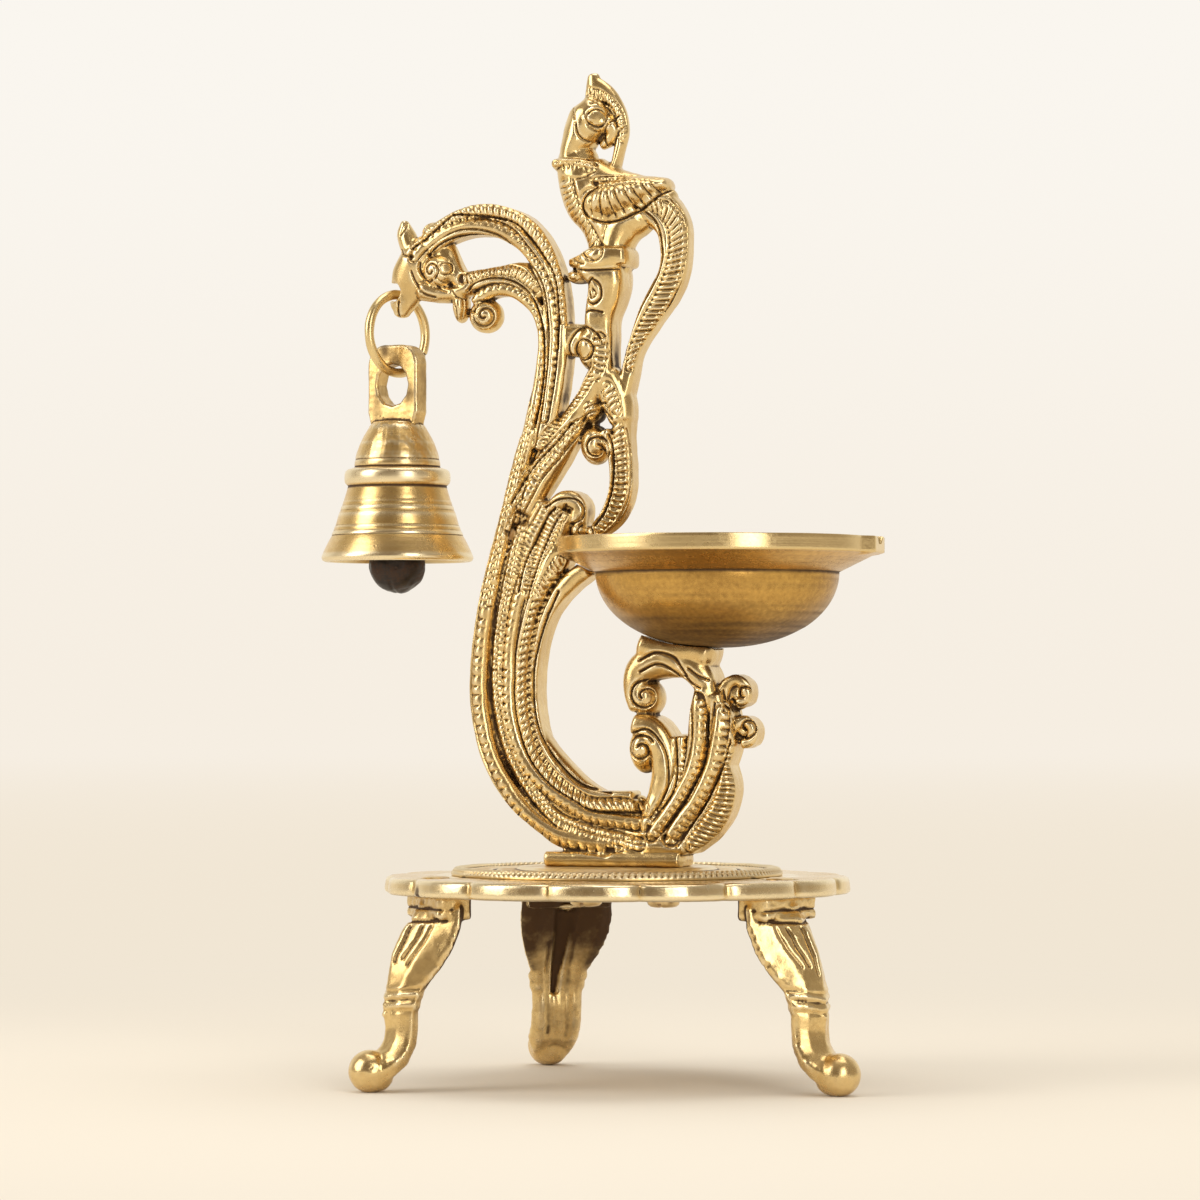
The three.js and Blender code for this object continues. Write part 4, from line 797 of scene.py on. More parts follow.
    bar("rib", 5.1, 12,
        (27.8, 24.4), (28.3, 19.4, 6.6), (26.7, 14, 7.1), (23.4, 9.3, 6.6, 12.2), (19.3, 5.4, 5.1, 12.6)),
    bar("rib", 5.1, 12.6, (28, 40.1, 4.6, 14), (28.5, 35.2, 5.6, 13.6), (28.3, 29.8, 6.6, 13), (27, 24.4)),
    bar("rib", 3.8, 10,
        (22.1, 39.6, 3.1), (25.2, 39.1), (27.5, 41.6, 3.6), (29, 44.8, 3.1, 9), (31.6, 46, 2.8, 8.6),
        (33.9, 44.3, 2.8, 8.4), (33.9, 41.3, 2.6, 8.2), (31.8, 40.3, 2.3, 8)),
    ("boss", 31.1, 42.3, 7.4, 6.6, 7.4),
    bar("rib", 3.6, 10,
        (23.2, 29.3, 3.1), (26.2, 30.3), (28.8, 32), (31.1, 34.9, 3.1, 9), (33.9, 35.9, 2.8, 8.6),
        (35.7, 34, 2.8, 8.4), (35.1, 31, 2.6, 8.2), (33.1, 30.3, 2.3, 8)),
    ("boss", 32.2, 34.1, 7.4, 6.6, 6.6),
    ("boss", 28.6, 34.5, 7, 8, 14),
    bar("rib", 4.3, 13.4, (3.9, 5), (11.6, 5, 4.3, 13.8), (18.8, 5.1, 4.1)),
    # a filling at the branch
    ("boss", -24.6, 86.9, 5, 7, 8),
    # the end of the outer rib above the head
    ("boss", -47.6, 157.4, 6.4, 9, 6.4),
    # the tie between crescent and pedestal, and the foot
    ("boss", 6.2, 12.6, 6, 9, 10),
    bar("rib", 3.7, 14, (-16.6, 1.8), (0, 1.8), (17.4, 1.8)),
]

casting = {
    "blank": 0.45,  # the voxels in which the bars grow together
    "blankRounds": 3,
    "around": 26,  # points round a bar
    "crown": 0.8,  # how round a rib's face is: the fall to its sides in half widths
    "caps": (75, 50, 25),  # angles of the rings that round a bar's ends
    "capLength": 0.3,
    "bossRings": 13,
    "fine": 0.27,
    "fineRounds": 3,
    "carve": 1.25,  # how much deeper than drawn the patterns are cut
    "ageShade": (1.5, 15, 12, 0.2),
    "kept": 0.42,  # share of the faces that stays after the carving
    "parts": {"casting_foot": (None, 72), "casting_middle": (72, 133), "casting_top": (133, None)},
    "rough": 0.05, "roughLength": 3.1,
    "clearance": 0.3,
    "beakHole": 2.7,
    "beakHoleHeight": 143.3,
}


# The faces between rings of points, and the two end faces.
def ringFaces(rings, count):
    sides = []
    for i in range(rings - 1):
        low, high = i * count, (i + 1) * count
        sides += [(low + k, low + (k + 1) % count, high + (k + 1) % count, high + k) for k in range(count)]
    return sides, [tuple(range(count))[::-1], tuple((rings - 1) * count + k for k in range(count))]


# The points of a smooth bar, ring by ring, with a rounded cap at each end, and its faces. A rib has straight
# sides and rounded faces at front and back, a slab has flat faces, and an oval is an ellipse.
def loft(section, stations):
    line = smoothLine(stations, 1.0)
    tangents = np.gradient(line[:, :2], axis=0)
    tangents /= np.hypot(*tangents.T)[:, None]
    caps = np.radians(casting["caps"])
    length = casting["capLength"]
    rows = [(line[0, :2] - tangents[0] * length * line[0, 2] * math.sin(t), line[0], tangents[0], math.cos(t))
            for t in caps]
    rows += [(place[:2], place, along, 1) for place, along in zip(line, tangents)]
    rows += [(line[-1, :2] + tangents[-1] * length * line[-1, 2] * math.sin(t), line[-1], tangents[-1],
              math.cos(t)) for t in caps[::-1]]
    count = casting["around"]
    turns = (np.arange(count) + 0.5) / count * fullTurn
    v, s = np.cos(turns), np.sin(turns)
    points = []
    for (x, z), (_, _, width, depth), (tx, tz), scale in rows:
        through, across = depth / 2 * s, v * width / 2 * scale
        if section == "rib":
            through = np.sign(s) * (depth / 2 - casting["crown"] * width / 2 * (1 - np.abs(s)))
        if section == "slab":
            through = np.sign(s) * np.abs(s) ** 0.5 * depth / 2
            across = np.sign(v) * np.abs(v) ** 0.5 * width / 2 * scale
        points.append(np.stack([x + tz * across, through * scale, z - tx * across], 1))
    sides, ends = ringFaces(len(rows), count)
    return np.concatenate(points), sides + ends


def boss(x, height, width, depth, tall):
    around, over = casting["around"], casting["bossRings"]
    turns = np.arange(around) / around * fullTurn
    points = []
    for polar in (np.arange(over) + 0.5) / over * math.pi:
        points.append(np.stack([np.sin(polar) * np.cos(turns) * width / 2,
                                np.sin(polar) * np.sin(turns) * depth / 2,
                                np.full(around, np.cos(polar) * tall / 2)], 1))
    sides, ends = ringFaces(over, around)
    faces = [(a, d, c, b) for a, b, c, d in sides] + [end[::-1] for end in ends]
    return np.concatenate(points) + (x, 0, height), faces


# The bars grown together, with the room for the bowl, the ring, the screws and the disc cut out.
def castingBlank():
    points, faces = [], []
    for section, *rest in castBars:
        more, around = boss(*rest) if section == "boss" else loft(section, *rest)
        start = sum(len(part) for part in points)
        points.append(more)
        faces += [tuple(start + k for k in face) for face in around]
    places = np.concatenate(points) * mm + (standX, standY, discTop)
    mesh = bpy.data.meshes.new("casting_blank")
    mesh.from_pydata(places.tolist(), [], faces)
    blank = linked(bpy.data.objects.new("casting_blank", mesh))
    openAll(blank)
    bpy.ops.mesh.normals_make_consistent(inside=False)
    closeEdit()
    remesh(blank, casting["blank"])
    relax(blank, casting["blankRounds"])
    room = casting["clearance"]
    top, rim = heightOf(bowlHigh.z), bowl["rim"] + room
    coneTop = top - bowl["rimHeight"]
    bottom = coneTop - bowl["cone"] - bowl["depth"] - room
    cup = cupLine(bowl["cup"] + room, bottom, bowl["depth"], 24)
    cutAway(blank, turnedPiece("bowl_room", cup + [(rim, coneTop - room), (rim, top + room), (0, top + room)],
                               96, bowlX, bowlY))
    discSpace = 0.2  # metres
    bpy.ops.mesh.primitive_cube_add(size=discSpace, location=(standX, standY, discTop - discSpace / 2))
    cutAway(blank, bpy.context.object)
    for node in ("stem_screw_left", "stem_screw_right", "bowl_screw"):
        low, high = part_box(node)
        low, high = low.z - room * mm, high.z + room * mm
        bpy.ops.mesh.primitive_cylinder_add(
            vertices=32, radius=(fastener["screw"] + room) * mm, depth=high - low,
            location=(*middleOf(node)[:2], (low + high) / 2))
        cutAway(blank, settled())
    bpy.ops.mesh.primitive_cylinder_add(
        vertices=48, radius=casting["beakHole"] * mm, depth=40 * mm,
        location=(bellX, standY, discTop + casting["beakHoleHeight"] * mm),
        rotation=(math.pi / 2, 0, math.radians(hang["turn"])))
    cutAway(blank, settled())
    return blank


def makeCasting():
    blank = castingBlank()
    remesh(blank, casting["fine"] * coarser)
    relax(blank, casting["fineRounds"])
    places, normals = surfaceOf(blank)
    spots = np.stack([places[:, 0] - standX, places[:, 2] - discTop], 1) / mm
    facing = smoothStep(0.2, 0.6, np.abs(normals[:, 1]))
    cut = np.zeros(len(places))
    front = facing > 0
    cut[front] = relief(spots[front], castingStrokes)
    places[:, 1] += np.sign(normals[:, 1]) * facing * cut * mm
    places += normals * unevenness(places, casting["roughLength"], 5)[:, None] * casting["rough"] * mm
    movePoints(blank, places)
    relax(blank, 1, 0)
    places = pointsOf(blank)
    places[:, 2] = places[:, 2].clip(discTop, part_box("stem_casting")[1].z)
    movePoints(blank, places)
    print("casting carved:", len(places), "points")
    ageAndShadeSurface(blank, *casting["ageShade"])
    modify(blank, "DECIMATE", ratio=casting["kept"])
    for name, (low, high) in casting["parts"].items():
        part = twinOf(blank, name)
        openAll(part)
        if low:
            bisectAt(low, clear_inner=True)
            bpy.ops.mesh.select_all(action="SELECT")
        if high:
            bisectAt(high, clear_outer=True)
        closeEdit()
        finishPiece(part, "stand", "casting_brass", "stem_casting", 60)
    bpy.data.objects.remove(blank)


# Finishes

def nodeGroup(name, inputs, outputs):
    group = bpy.data.node_groups.new(name, "ShaderNodeTree")
    for label, value in inputs.items():
        kind = {3: "Vector", 4: "Color"}[len(value)] if isinstance(value, tuple) else "Float"
        socket = group.interface.new_socket(label, in_out="INPUT", socket_type="NodeSocket" + kind)
        socket.default_value = value
    for label, kind in outputs.items():
        group.interface.new_socket(label, in_out="OUTPUT", socket_type="NodeSocket" + kind)
    return group, group.nodes.new("NodeGroupInput").outputs, group.nodes.new("NodeGroupOutput").inputs


# A node with its values and links given by socket name or number.
def put(tree, kind, values=None, **settings):
    node = tree.nodes.new("ShaderNode" + kind)
    for key, value in settings.items():
        setattr(node, key, value)
    for key, value in (values or {}).items():
        if isinstance(value, bpy.types.NodeSocket):
            tree.links.new(value, node.inputs[key])
        else:
            node.inputs[key].default_value = value
    return node


def mathNode(tree, operation, first, second=0.0, clamp=False):
    return put(tree, "Math", {0: first, 1: second}, operation=operation, use_clamp=clamp).outputs[0]


def times(tree, first, second, clamp=False):
    return mathNode(tree, "MULTIPLY", first, second, clamp)


def plus(tree, first, second, clamp=False):
    return mathNode(tree, "ADD", first, second, clamp)


def noise(tree, vector, scale, detail, **more):
    return put(tree, "TexNoise", {"Vector": vector, "Scale": scale, "Detail": detail, **more}).outputs[0]


def ramp(tree, value, low, high, start=0.0, end=1.0):
    return put(tree, "MapRange", {"Value": value, "From Min": low, "From Max": high, "To Min": start,
                                  "To Max": end}, interpolation_type="SMOOTHSTEP").outputs[0]


# A mix of two colours, which are sockets or plain (red, green, blue).
def blend(tree, share, first, second):
    first, second = [(*c, 1) if isinstance(c, tuple) else c for c in (first, second)]
    return put(tree, "MixRGB", {0: share, 1: first, 2: second}).outputs[0]


def vectorMath(tree, operation, output, *values):
    return put(tree, "VectorMath", dict(enumerate(values)), operation=operation).outputs[output]


# Colour and roughness of old brass: clouds of ochre on the polish, a dark colour for the patina in the
# hollows and for painted shade, and rubbed edges.
def makeAgedShadedGroup():
    group, given, made = nodeGroup("agedShadedBrass", {
        "Polished": (0.8, 0.55, 0.2, 1), "Ochre": (0.6, 0.36, 0.1, 1), "PatinaShade": (0.1, 0.05, 0.02, 1),
        "Rubbed": (0.9, 0.8, 0.6, 1), "Clouds": 60.0, "Smooth": 0.25, "Dull": 0.6, "Tarnish": 0.5,
    }, {"Color": "Color", "Roughness": "Float", "Dark": "Float"})
    where = put(group, "TexCoord").outputs["Object"]
    clouds = noise(group, where, given["Clouds"], 5.0, Roughness=0.6)
    specks = noise(group, where, 900.0, 3.0)
    grimeAndShade = put(group, "Attribute", attribute_name="grimeAndShade").outputs["Fac"]
    worn = put(group, "Attribute", attribute_name="worn").outputs["Fac"]
    spread = plus(group, times(group, clouds, 0.7), times(group, specks, 0.3))
    tarnish = times(group, ramp(group, spread, 0.36, 0.64), given["Tarnish"])
    golden = blend(group, tarnish, given["Polished"], given["Ochre"])
    rubbed = blend(group, times(group, worn, 0.85), golden, given["Rubbed"])
    # how dark the surface is made: patina in hollows and painted shade, as the attribute gives them
    patchy = plus(group, grimeAndShade, times(group, mathNode(group, "SUBTRACT", spread, 0.5), 0.7))
    grimeShadeWeight = plus(group, times(group, grimeAndShade, 1.4), 0.05, True)
    dark = times(group, ramp(group, patchy, 0.18, 0.85), grimeShadeWeight, True)
    dullness = mathNode(group, "MAXIMUM", dark, times(group, tarnish, 0.45))
    dulled = put(group, "MapRange", {"Value": dullness, "To Min": given["Smooth"], "To Max": given["Dull"]})
    group.links.new(blend(group, dark, rubbed, given["PatinaShade"]), made["Color"])
    group.links.new(dulled.outputs[0], made["Roughness"])
    group.links.new(dark, made["Dark"])
    return group


# The fine skin of a casting: a sandy grain with a few pits.
def makeGrainGroup():
    group, given, made = nodeGroup("castGrain", {"Grain": 700.0, "Pits": 0.4}, {"Height": "Float"})
    where = put(group, "TexCoord").outputs["Object"]
    sand = noise(group, where, given["Grain"], 6.0, Roughness=0.65)
    broad = noise(group, where, 170.0, 3.0)
    cells = put(group, "TexVoronoi", {"Vector": where, "Scale": 420.0}).outputs[0]
    pits = times(group, ramp(group, cells, 0.22, 0.05), ramp(group, broad, 0.52, 0.66))
    total = plus(group, times(group, sand, 0.55), times(group, broad, 1.1))
    total = mathNode(group, "SUBTRACT", total, times(group, pits, given["Pits"]))
    group.links.new(total, made["Height"])
    return group


# Rings left by turning, about an upright line through the given place.
def makeLatheGroup():
    group, given, made = nodeGroup("latheMarks", {"Centre": (0, 0, 0), "Rings": 900.0, "Scratches": 0.4},
                                   {"Height": "Float"})
    where = put(group, "TexCoord").outputs["Object"]
    parts = put(group, "SeparateXYZ", {0: vectorMath(group, "SUBTRACT", 0, where, given["Centre"])}).outputs
    flat = put(group, "CombineXYZ", {0: parts[0], 1: parts[1]}).outputs[0]
    radius = vectorMath(group, "LENGTH", "Value", flat)
    angle = mathNode(group, "ARCTAN2", parts[1], parts[0])
    rings = put(group, "CombineXYZ", {0: radius, 1: parts[2], 2: times(group, angle, 0.0006)}).outputs[0]
    fine = noise(group, rings, given["Rings"], 4.0)
    marks = noise(group, where, 260.0, 4.0, Distortion=1.5)
    group.links.new(plus(group, fine, times(group, marks, given["Scratches"])), made["Height"])
    return group


agedShadedBrass, castGrain, latheMarks = makeAgedShadedGroup(), makeGrainGroup(), makeLatheGroup()
finishes = {}


def newMaterial(name):
    material = bpy.data.materials.new(name)
    material.use_nodes = True
    finishes[name] = material
    return material.node_tree, material.node_tree.nodes["Principled BSDF"].inputs


# A bump from a group, whose inputs are set from the look, in mm, on top of another bump where one is given.
def bumpFrom(tree, group, look, depth, under=None, **inputs):
    source = put(tree, "Group", {label: look[key] for label, key in inputs.items()}, node_tree=group)
    values = {"Height": source.outputs[0], "Strength": 1.0, "Distance": depth * mm}
    if under:
        values["Normal"] = under
    return put(tree, "Bump", values).outputs[0]


def makeBrass(name, look):
    tree, shader = newMaterial(name)
    agedShaded = put(tree, "Group", node_tree=agedShadedBrass)
    for key in ("Polished", "Ochre", "PatinaShade", "Rubbed"):
        agedShaded.inputs[key].default_value = (*look[key.lower()], 1)
    for key in ("Clouds", "Smooth", "Dull", "Tarnish"):
        agedShaded.inputs[key].default_value = look[key.lower()]
    tree.links.new(agedShaded.outputs["Color"], shader["Base Color"])
    tree.links.new(agedShaded.outputs["Roughness"], shader["Roughness"])
    # less metallic where patina and painted shade darken the colour
    metalShare = mathNode(tree, "SUBTRACT", 1.0, times(tree, agedShaded.outputs["Dark"], 0.5))
    tree.links.new(metalShare, shader["Metallic"])
    normal = bumpFrom(tree, castGrain, look, look["bump"], Grain="grain", Pits="pits")
    if "lathe" in look:
        normal = bumpFrom(tree, latheMarks, look, look["turning"], normal, Centre="centre", Rings="lathe",
                          Scratches="scratches")
    tree.links.new(normal, shader["Normal"])


bowlLow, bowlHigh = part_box("oil_bowl")
bowlY = (bowlLow.y + bowlHigh.y) / 2
bowlX = bowlLow.x + (bowlHigh.y - bowlLow.y) / 2  # round but for the spout at +x
bellX, bellY = middleOf("clapper_ball")[:2]

# the dark patina colour also paints the shade
gold = {"polished": (0.83, 0.62, 0.29), "ochre": (0.60, 0.39, 0.145), "patinashade": (0.075, 0.036, 0.011),
        "rubbed": (0.93, 0.80, 0.53), "clouds": 55, "smooth": 0.2, "dull": 0.6, "tarnish": 0.55, "grain": 800,
        "pits": 0.5, "bump": 0.05}
brassLooks = {  # what differs from the gold
    "casting_brass": {},
    "leg_brass": {"tarnish": 0.6, "clouds": 45, "bump": 0.07},
    "plate_brass": {"clouds": 35, "tarnish": 0.5, "pits": 0.9, "bump": 0.08},
    "disc_brass": {"ochre": (0.55, 0.33, 0.11), "tarnish": 0.75, "smooth": 0.3},
    "bowl_brass": {"polished": (0.70, 0.42, 0.11), "ochre": (0.42, 0.22, 0.05), "rubbed": (0.86, 0.68, 0.36),
                   "clouds": 24, "smooth": 0.17, "tarnish": 0.7, "bump": 0.025, "lathe": 1300,
                   "turning": 0.022, "scratches": 0.35, "centre": (bowlX, bowlY, 0)},
    "bell_brass": {"polished": (0.82, 0.58, 0.24), "ochre": (0.58, 0.36, 0.12), "smooth": 0.24,
                   "tarnish": 0.55, "bump": 0.04, "lathe": 1500, "turning": 0.02, "scratches": 0.35,
                   "centre": (bellX, bellY, 0)},
    "ring_brass": {"polished": (0.78, 0.57, 0.22), "smooth": 0.24, "tarnish": 0.35, "bump": 0.02},
    "fastener_brass": {"ochre": (0.5, 0.3, 0.1), "tarnish": 0.7, "smooth": 0.3, "bump": 0.03},
}
for slotName, change in brassLooks.items():
    makeBrass(slotName, {**gold, **change})

iron = {"black": (0.03, 0.022, 0.018), "rust": (0.075, 0.04, 0.024), "clouds": 160, "roughness": (0.34, 0.68),
        "metallic": 0.55, "grain": 600, "pits": 1, "bump": 0.16}


def makeIron(name, look):
    tree, shader = newMaterial(name)
    where = put(tree, "TexCoord").outputs["Object"]
    clouds = noise(tree, where, look["clouds"], 6.0)
    specks = noise(tree, where, 1400.0, 4.0)
    rust = ramp(tree, plus(tree, times(tree, clouds, 0.65), times(tree, specks, 0.35)), 0.47, 0.66)
    tree.links.new(blend(tree, rust, look["black"], look["rust"]), shader["Base Color"])
    tree.links.new(ramp(tree, rust, 0, 1, *look["roughness"]), shader["Roughness"])
    shader["Metallic"].default_value = look["metallic"]
    normal = bumpFrom(tree, castGrain, look, look["bump"], Grain="grain", Pits="pits")
    tree.links.new(normal, shader["Normal"])


makeIron("clapper_iron", iron)
print("finishes made")


# Turned work

# A line of (radius, height above the disc) turned about an upright axis into a closed solid.
def turnedPiece(name, profile, steps, x, y):
    bpy.ops.object.select_all(action="DESELECT")
    bpy.ops.mesh.primitive_plane_add(size=1 * mm, location=(0, 0, 0))
    piece = bpy.context.object
    piece.name = name
    openAll(piece)
    bpy.ops.mesh.merge(type="CENTER")
    bpy.ops.transform.translate(value=(x + profile[0][0] * mm, y, discTop + profile[0][1] * mm))
    for (r0, z0), (r1, z1) in zip(profile, profile[1:]):
        bpy.ops.mesh.extrude_region_move(
            TRANSFORM_OT_translate={"value": ((r1 - r0) * mm, 0, (z1 - z0) * mm)})
    bpy.ops.mesh.select_all(action="SELECT")
    bpy.ops.mesh.spin(steps=steps, angle=fullTurn, center=(x, y, 0), axis=(0, 0, 1))
    bpy.ops.mesh.select_all(action="SELECT")
    bpy.ops.mesh.remove_doubles(threshold=0.002 * mm)
    bpy.ops.mesh.normals_make_consistent(inside=False)
    closeEdit()
    return piece


# A profile with more points on it, no two further apart than a step.
def finer(profile, step):
    made = [profile[0]]
    for a, b in zip(profile, profile[1:]):
        count = max(1, math.ceil(math.dist(a, b) / step))
        made += [(a[0] + (b[0] - a[0]) * k / count, a[1] + (b[1] - a[1]) * k / count)
                 for k in range(1, count + 1)]
    return made


# Places about an upright axis: x and y from it, the distance in mm, and the angle.
def aboutAxis(places, x, y):
    x, y = places[:, 0] - x, places[:, 1] - y
    return x, y, np.hypot(x, y) / mm, np.arctan2(y, x)


# The stand

plate = {
    "radius": 58, "bottom": -6.7, "top": -2.2, "steps": 768, "grain": 0.75,
    "lobes": 16, "lobeDepth": 2.4, "flat": 0.34, "petalInner": 46, "petalFade": 38,
    "notch": (0.22, 1.2), "notchFrom": 52,  # depth and width, and the radius from which it shows
    "seed": 6, "leastNotch": 0.3, "tilt": 3,
    "rim": (55, 57.2), "edgeLoss": 0.25,
    "waves": 0.16, "waveKinds": [(16, 3, 1.6), (4, 8, 0.6)],  # length, seed and share of the height
    "dimple": (3.9, 0.45, 0.45),  # round each rivet: radius, width and depth
    "ageShade": (3, 12, 14, 0.3), "pits": ((5, 51), (17, 52)), "rimShade": (0.2, 0.5),
}


def makePlate():
    size, low, high, lobes = plate["radius"], plate["bottom"], plate["top"], plate["lobes"]
    edge = [(44, low), (56, low), (57.2, low + 0.15), (57.8, low + 0.5), (58, low + 1), (57.9, low + 2.4),
            (57.7, high - 0.9), (57.4, high - 0.4), (56.7, high - 0.08), (55.2, high), (44, high)]
    edge = finer(edge, plate["grain"])
    profile = [(0, low), (20, low), (32, low)] + edge + [(30, high), (18, high), (0, high)]
    piece = turnedPiece("scalloped_plate", profile, round(plate["steps"] / coarser), standX, standY)
    places = placesOf(piece)
    x, y, radius, angle = aboutAxis(places, standX, standY)
    lobe = (np.sin(lobes * angle / 2) ** 2 + 0.006).clip(0, 1) ** (plate["flat"] / 2)
    number = np.floor(angle / fullTurn * lobes).astype(int) % lobes
    uneven = np.random.default_rng(plate["seed"]).uniform(plate["leastNotch"], 1, lobes)[number]
    outer = smoothStep(plate["petalFade"], size, radius)
    shrink = 1 - plate["lobeDepth"] * (1 - lobe) * outer / size
    pitch = fullTurn / lobes
    fromNotch = np.abs((angle / pitch + 0.5) % 1 - 0.5) * pitch * radius
    depth, width = plate["notch"]
    notch = depth * swell(fromNotch, width) * smoothStep(plate["petalInner"], plate["notchFrom"], radius)
    notch *= uneven
    tilt = (uneven - (1 + plate["leastNotch"]) / 2) * (angle / pitch % 1 - 0.5) * plate["tilt"] * outer
    rim = smoothStep(*plate["rim"], radius)
    wave = sum(unevenness(places, length, seed) * plate["waves"] * share
               for length, seed, share in plate["waveKinds"])
    shrink -= rim * (plate["edgeLoss"] - 0.2 * wave + notch) / size + np.abs(tilt) / size
    places[:, 0] = standX + x * shrink
    places[:, 1] = standY + y * shrink
    onTop = places[:, 2] > discTop + (low + high) / 2 * mm
    sink = notch * 0.8 + (wave + 0.25) * 0.5 * smoothStep(42, 46, radius)
    places[:, 2] -= np.where(onTop, sink, -0.4 * sink) * mm * (1 - rim * 0.5)
    ring, width, depth = plate["dimple"]
    for side in leg["turns"]:
        away = aboutAxis(places, *middleOf("leg_rivet_" + side)[:2])[2]
        places[:, 2] -= np.where(onTop, depth * swell(away - ring, width), 0) * mm
    movePoints(piece, places)
    ageAndShadeSurface(piece, *plate["ageShade"])
    # painted shade on the plate's outer edge, heavier in pitted patches
    fine, broad = [unevenness(places, length, seed) for length, seed in plate["pits"]]
    pits = smoothStep(0.35, 0.9, fine) * smoothStep(0.1, 0.8, broad)
    even, pitted = plate["rimShade"]
    darkenBy(piece, (even + pitted * pits) * rim)
    finishPiece(piece, "stand", "plate_brass", "base_plate", 45)


disc = {"radius": 41, "rope": 3.4, "ropeHeight": 0.7, "bottom": -2.2, "dish": -0.7, "seat": 24, "steps": 960,
        "twists": 156, "twistLean": 0.28, "twistCut": 0.45, "edgeCut": 0.3,
        "rays": 120, "rayCut": 0.3, "groove": (30, 30.6), "dents": (9, 4, 0.05), "ageShade": (2.5, 10, 10, 0.1)}


def makeDisc():
    size, low, dish = disc["radius"], disc["bottom"], disc["dish"]
    rope = size - disc["rope"]
    grooveIn, grooveOut = disc["groove"]
    profile = [(30, low), (size - 0.3, low), (size, low + 0.3), (size, dish - 0.5), (size - 0.5, dish)]
    profile = finer(profile, 0.5)
    profile += [(size - 0.5 - (disc["rope"] - 0.5) * (0.5 - 0.5 * math.cos(t)),
                 dish + disc["ropeHeight"] * math.sin(t)) for t in np.linspace(0.2, math.pi, 9)]
    profile += finer([(rope - 0.3, dish - 0.35), (rope - 0.9, dish), (grooveOut + 0.4, dish),
                      (grooveOut, dish - 0.3), (grooveIn, dish - 0.3), (grooveIn - 0.4, dish), (25, dish),
                      (disc["seat"], 0)], 0.6)
    profile = [(0, low)] + profile + [(20, 0), (0, 0)]
    piece = turnedPiece("rope_edged_disc", profile, round(disc["steps"] / coarser), standX, standY)
    places = placesOf(piece)
    x, y, radius, angle = aboutAxis(places, standX, standY)
    top = places[:, 2] > discTop + (dish - 0.6) * mm
    twist = (angle / fullTurn * disc["twists"] + disc["twistLean"] * (radius - rope)) % 1
    cut = (2 * np.abs(twist - 0.5)) ** 3
    onRope = smoothStep(rope - 0.4, rope + 0.3, radius) * top
    ray = (2 * np.abs((angle / fullTurn * disc["rays"]) % 1 - 0.5)) ** 3
    onRays = smoothStep(31.2, 31.8, radius) * (1 - smoothStep(rope - 1.4, rope - 0.9, radius)) * top
    ray = np.where(radius < grooveIn, ray * 0.6, ray)
    onRays = np.maximum(onRays, smoothStep(25.4, 26, radius) * (1 - smoothStep(29, 29.6, radius)) * top)
    places[:, 2] -= (disc["twistCut"] * cut * onRope + disc["rayCut"] * ray * onRays) * mm
    inward = disc["edgeCut"] * cut * smoothStep(size - 1.2, size - 0.2, radius) * top / size
    places[:, 0] -= x * inward
    places[:, 1] -= y * inward
    places[:, 2] -= dents(places, disc["dents"]) * top * mm
    movePoints(piece, places)
    ageAndShadeSurface(piece, *disc["ageShade"])
    finishPiece(piece, "stand", "disc_brass", "rosette_disc", 50)


leg = {
    "turns": {"right": -18, "back": 123, "left": 220}, "reach": 48, "blank": 0.8, "blankRounds": 8,
    "fine": 0.42, "fineRounds": 4, "kept": 0.6, "rough": 0.05, "roughLength": 3.4, "grow": 0.75,
    "toe": (17, 5.3, 5.1),  # how far out, the ball's radius and its height
    "hammer": (2.6, 31, 0.16), "ageShade": (1.6, 16, 12, 0.3),
}
# Strokes on a leg's outer face, with spots of (across, height above the disc), and on its hollow inner face.
legStrokes = [
    groove(0.8, 1.2, (-10, -12.2), (0, -12.4), (10, -12.2)),
    groove(0.6, 1, (-11, -9.6), (0, -9.4), (11, -9.6)),
    *[groove(0.5, 1.1, (side * 7.4, -13.6), (side * 6.6, -18), (side * 4.6, -23, 1)) for side in (-1, 1)],
    groove(0.65, 1.1, (-4.6, -13.6), (-4.2, -18), (-2.8, -23, 0.9)),
    groove(0.65, 1.1, (-1.4, -13.6), (-1.5, -18.5), (-1, -25, 0.9)),
    groove(0.65, 1.1, (1.8, -13.6), (1.9, -18), (1.2, -22.5, 0.9)),
    groove(0.65, 1.1, (5, -13.6), (4.6, -17.5), (3.2, -21.5, 0.9)),
    groove(0.45, 1.6, (-9, -28.2), (0, -29.6), (9, -28.6)),
    groove(0.5, 1.5, (-9, -30.6), (0, -31.8), (9, -31)),
    groove(0.3, 1.6, (-9, -33.2), (0, -34.2), (9, -33.6)),
]
legTroughs = [
    groove(1.5, 9, (0.4, -4), (0.2, -14, 7.5), (0.6, -24, 4.6), (1.2, -34, 2.4)),
    groove(0.5, 3, (-2.6, -20), (-2.2, -32, 3.4), (-2.4, -46)),
    groove(0.5, 3, (3.4, -22, 2.6), (2.8, -34), (2.4, -45)),
]


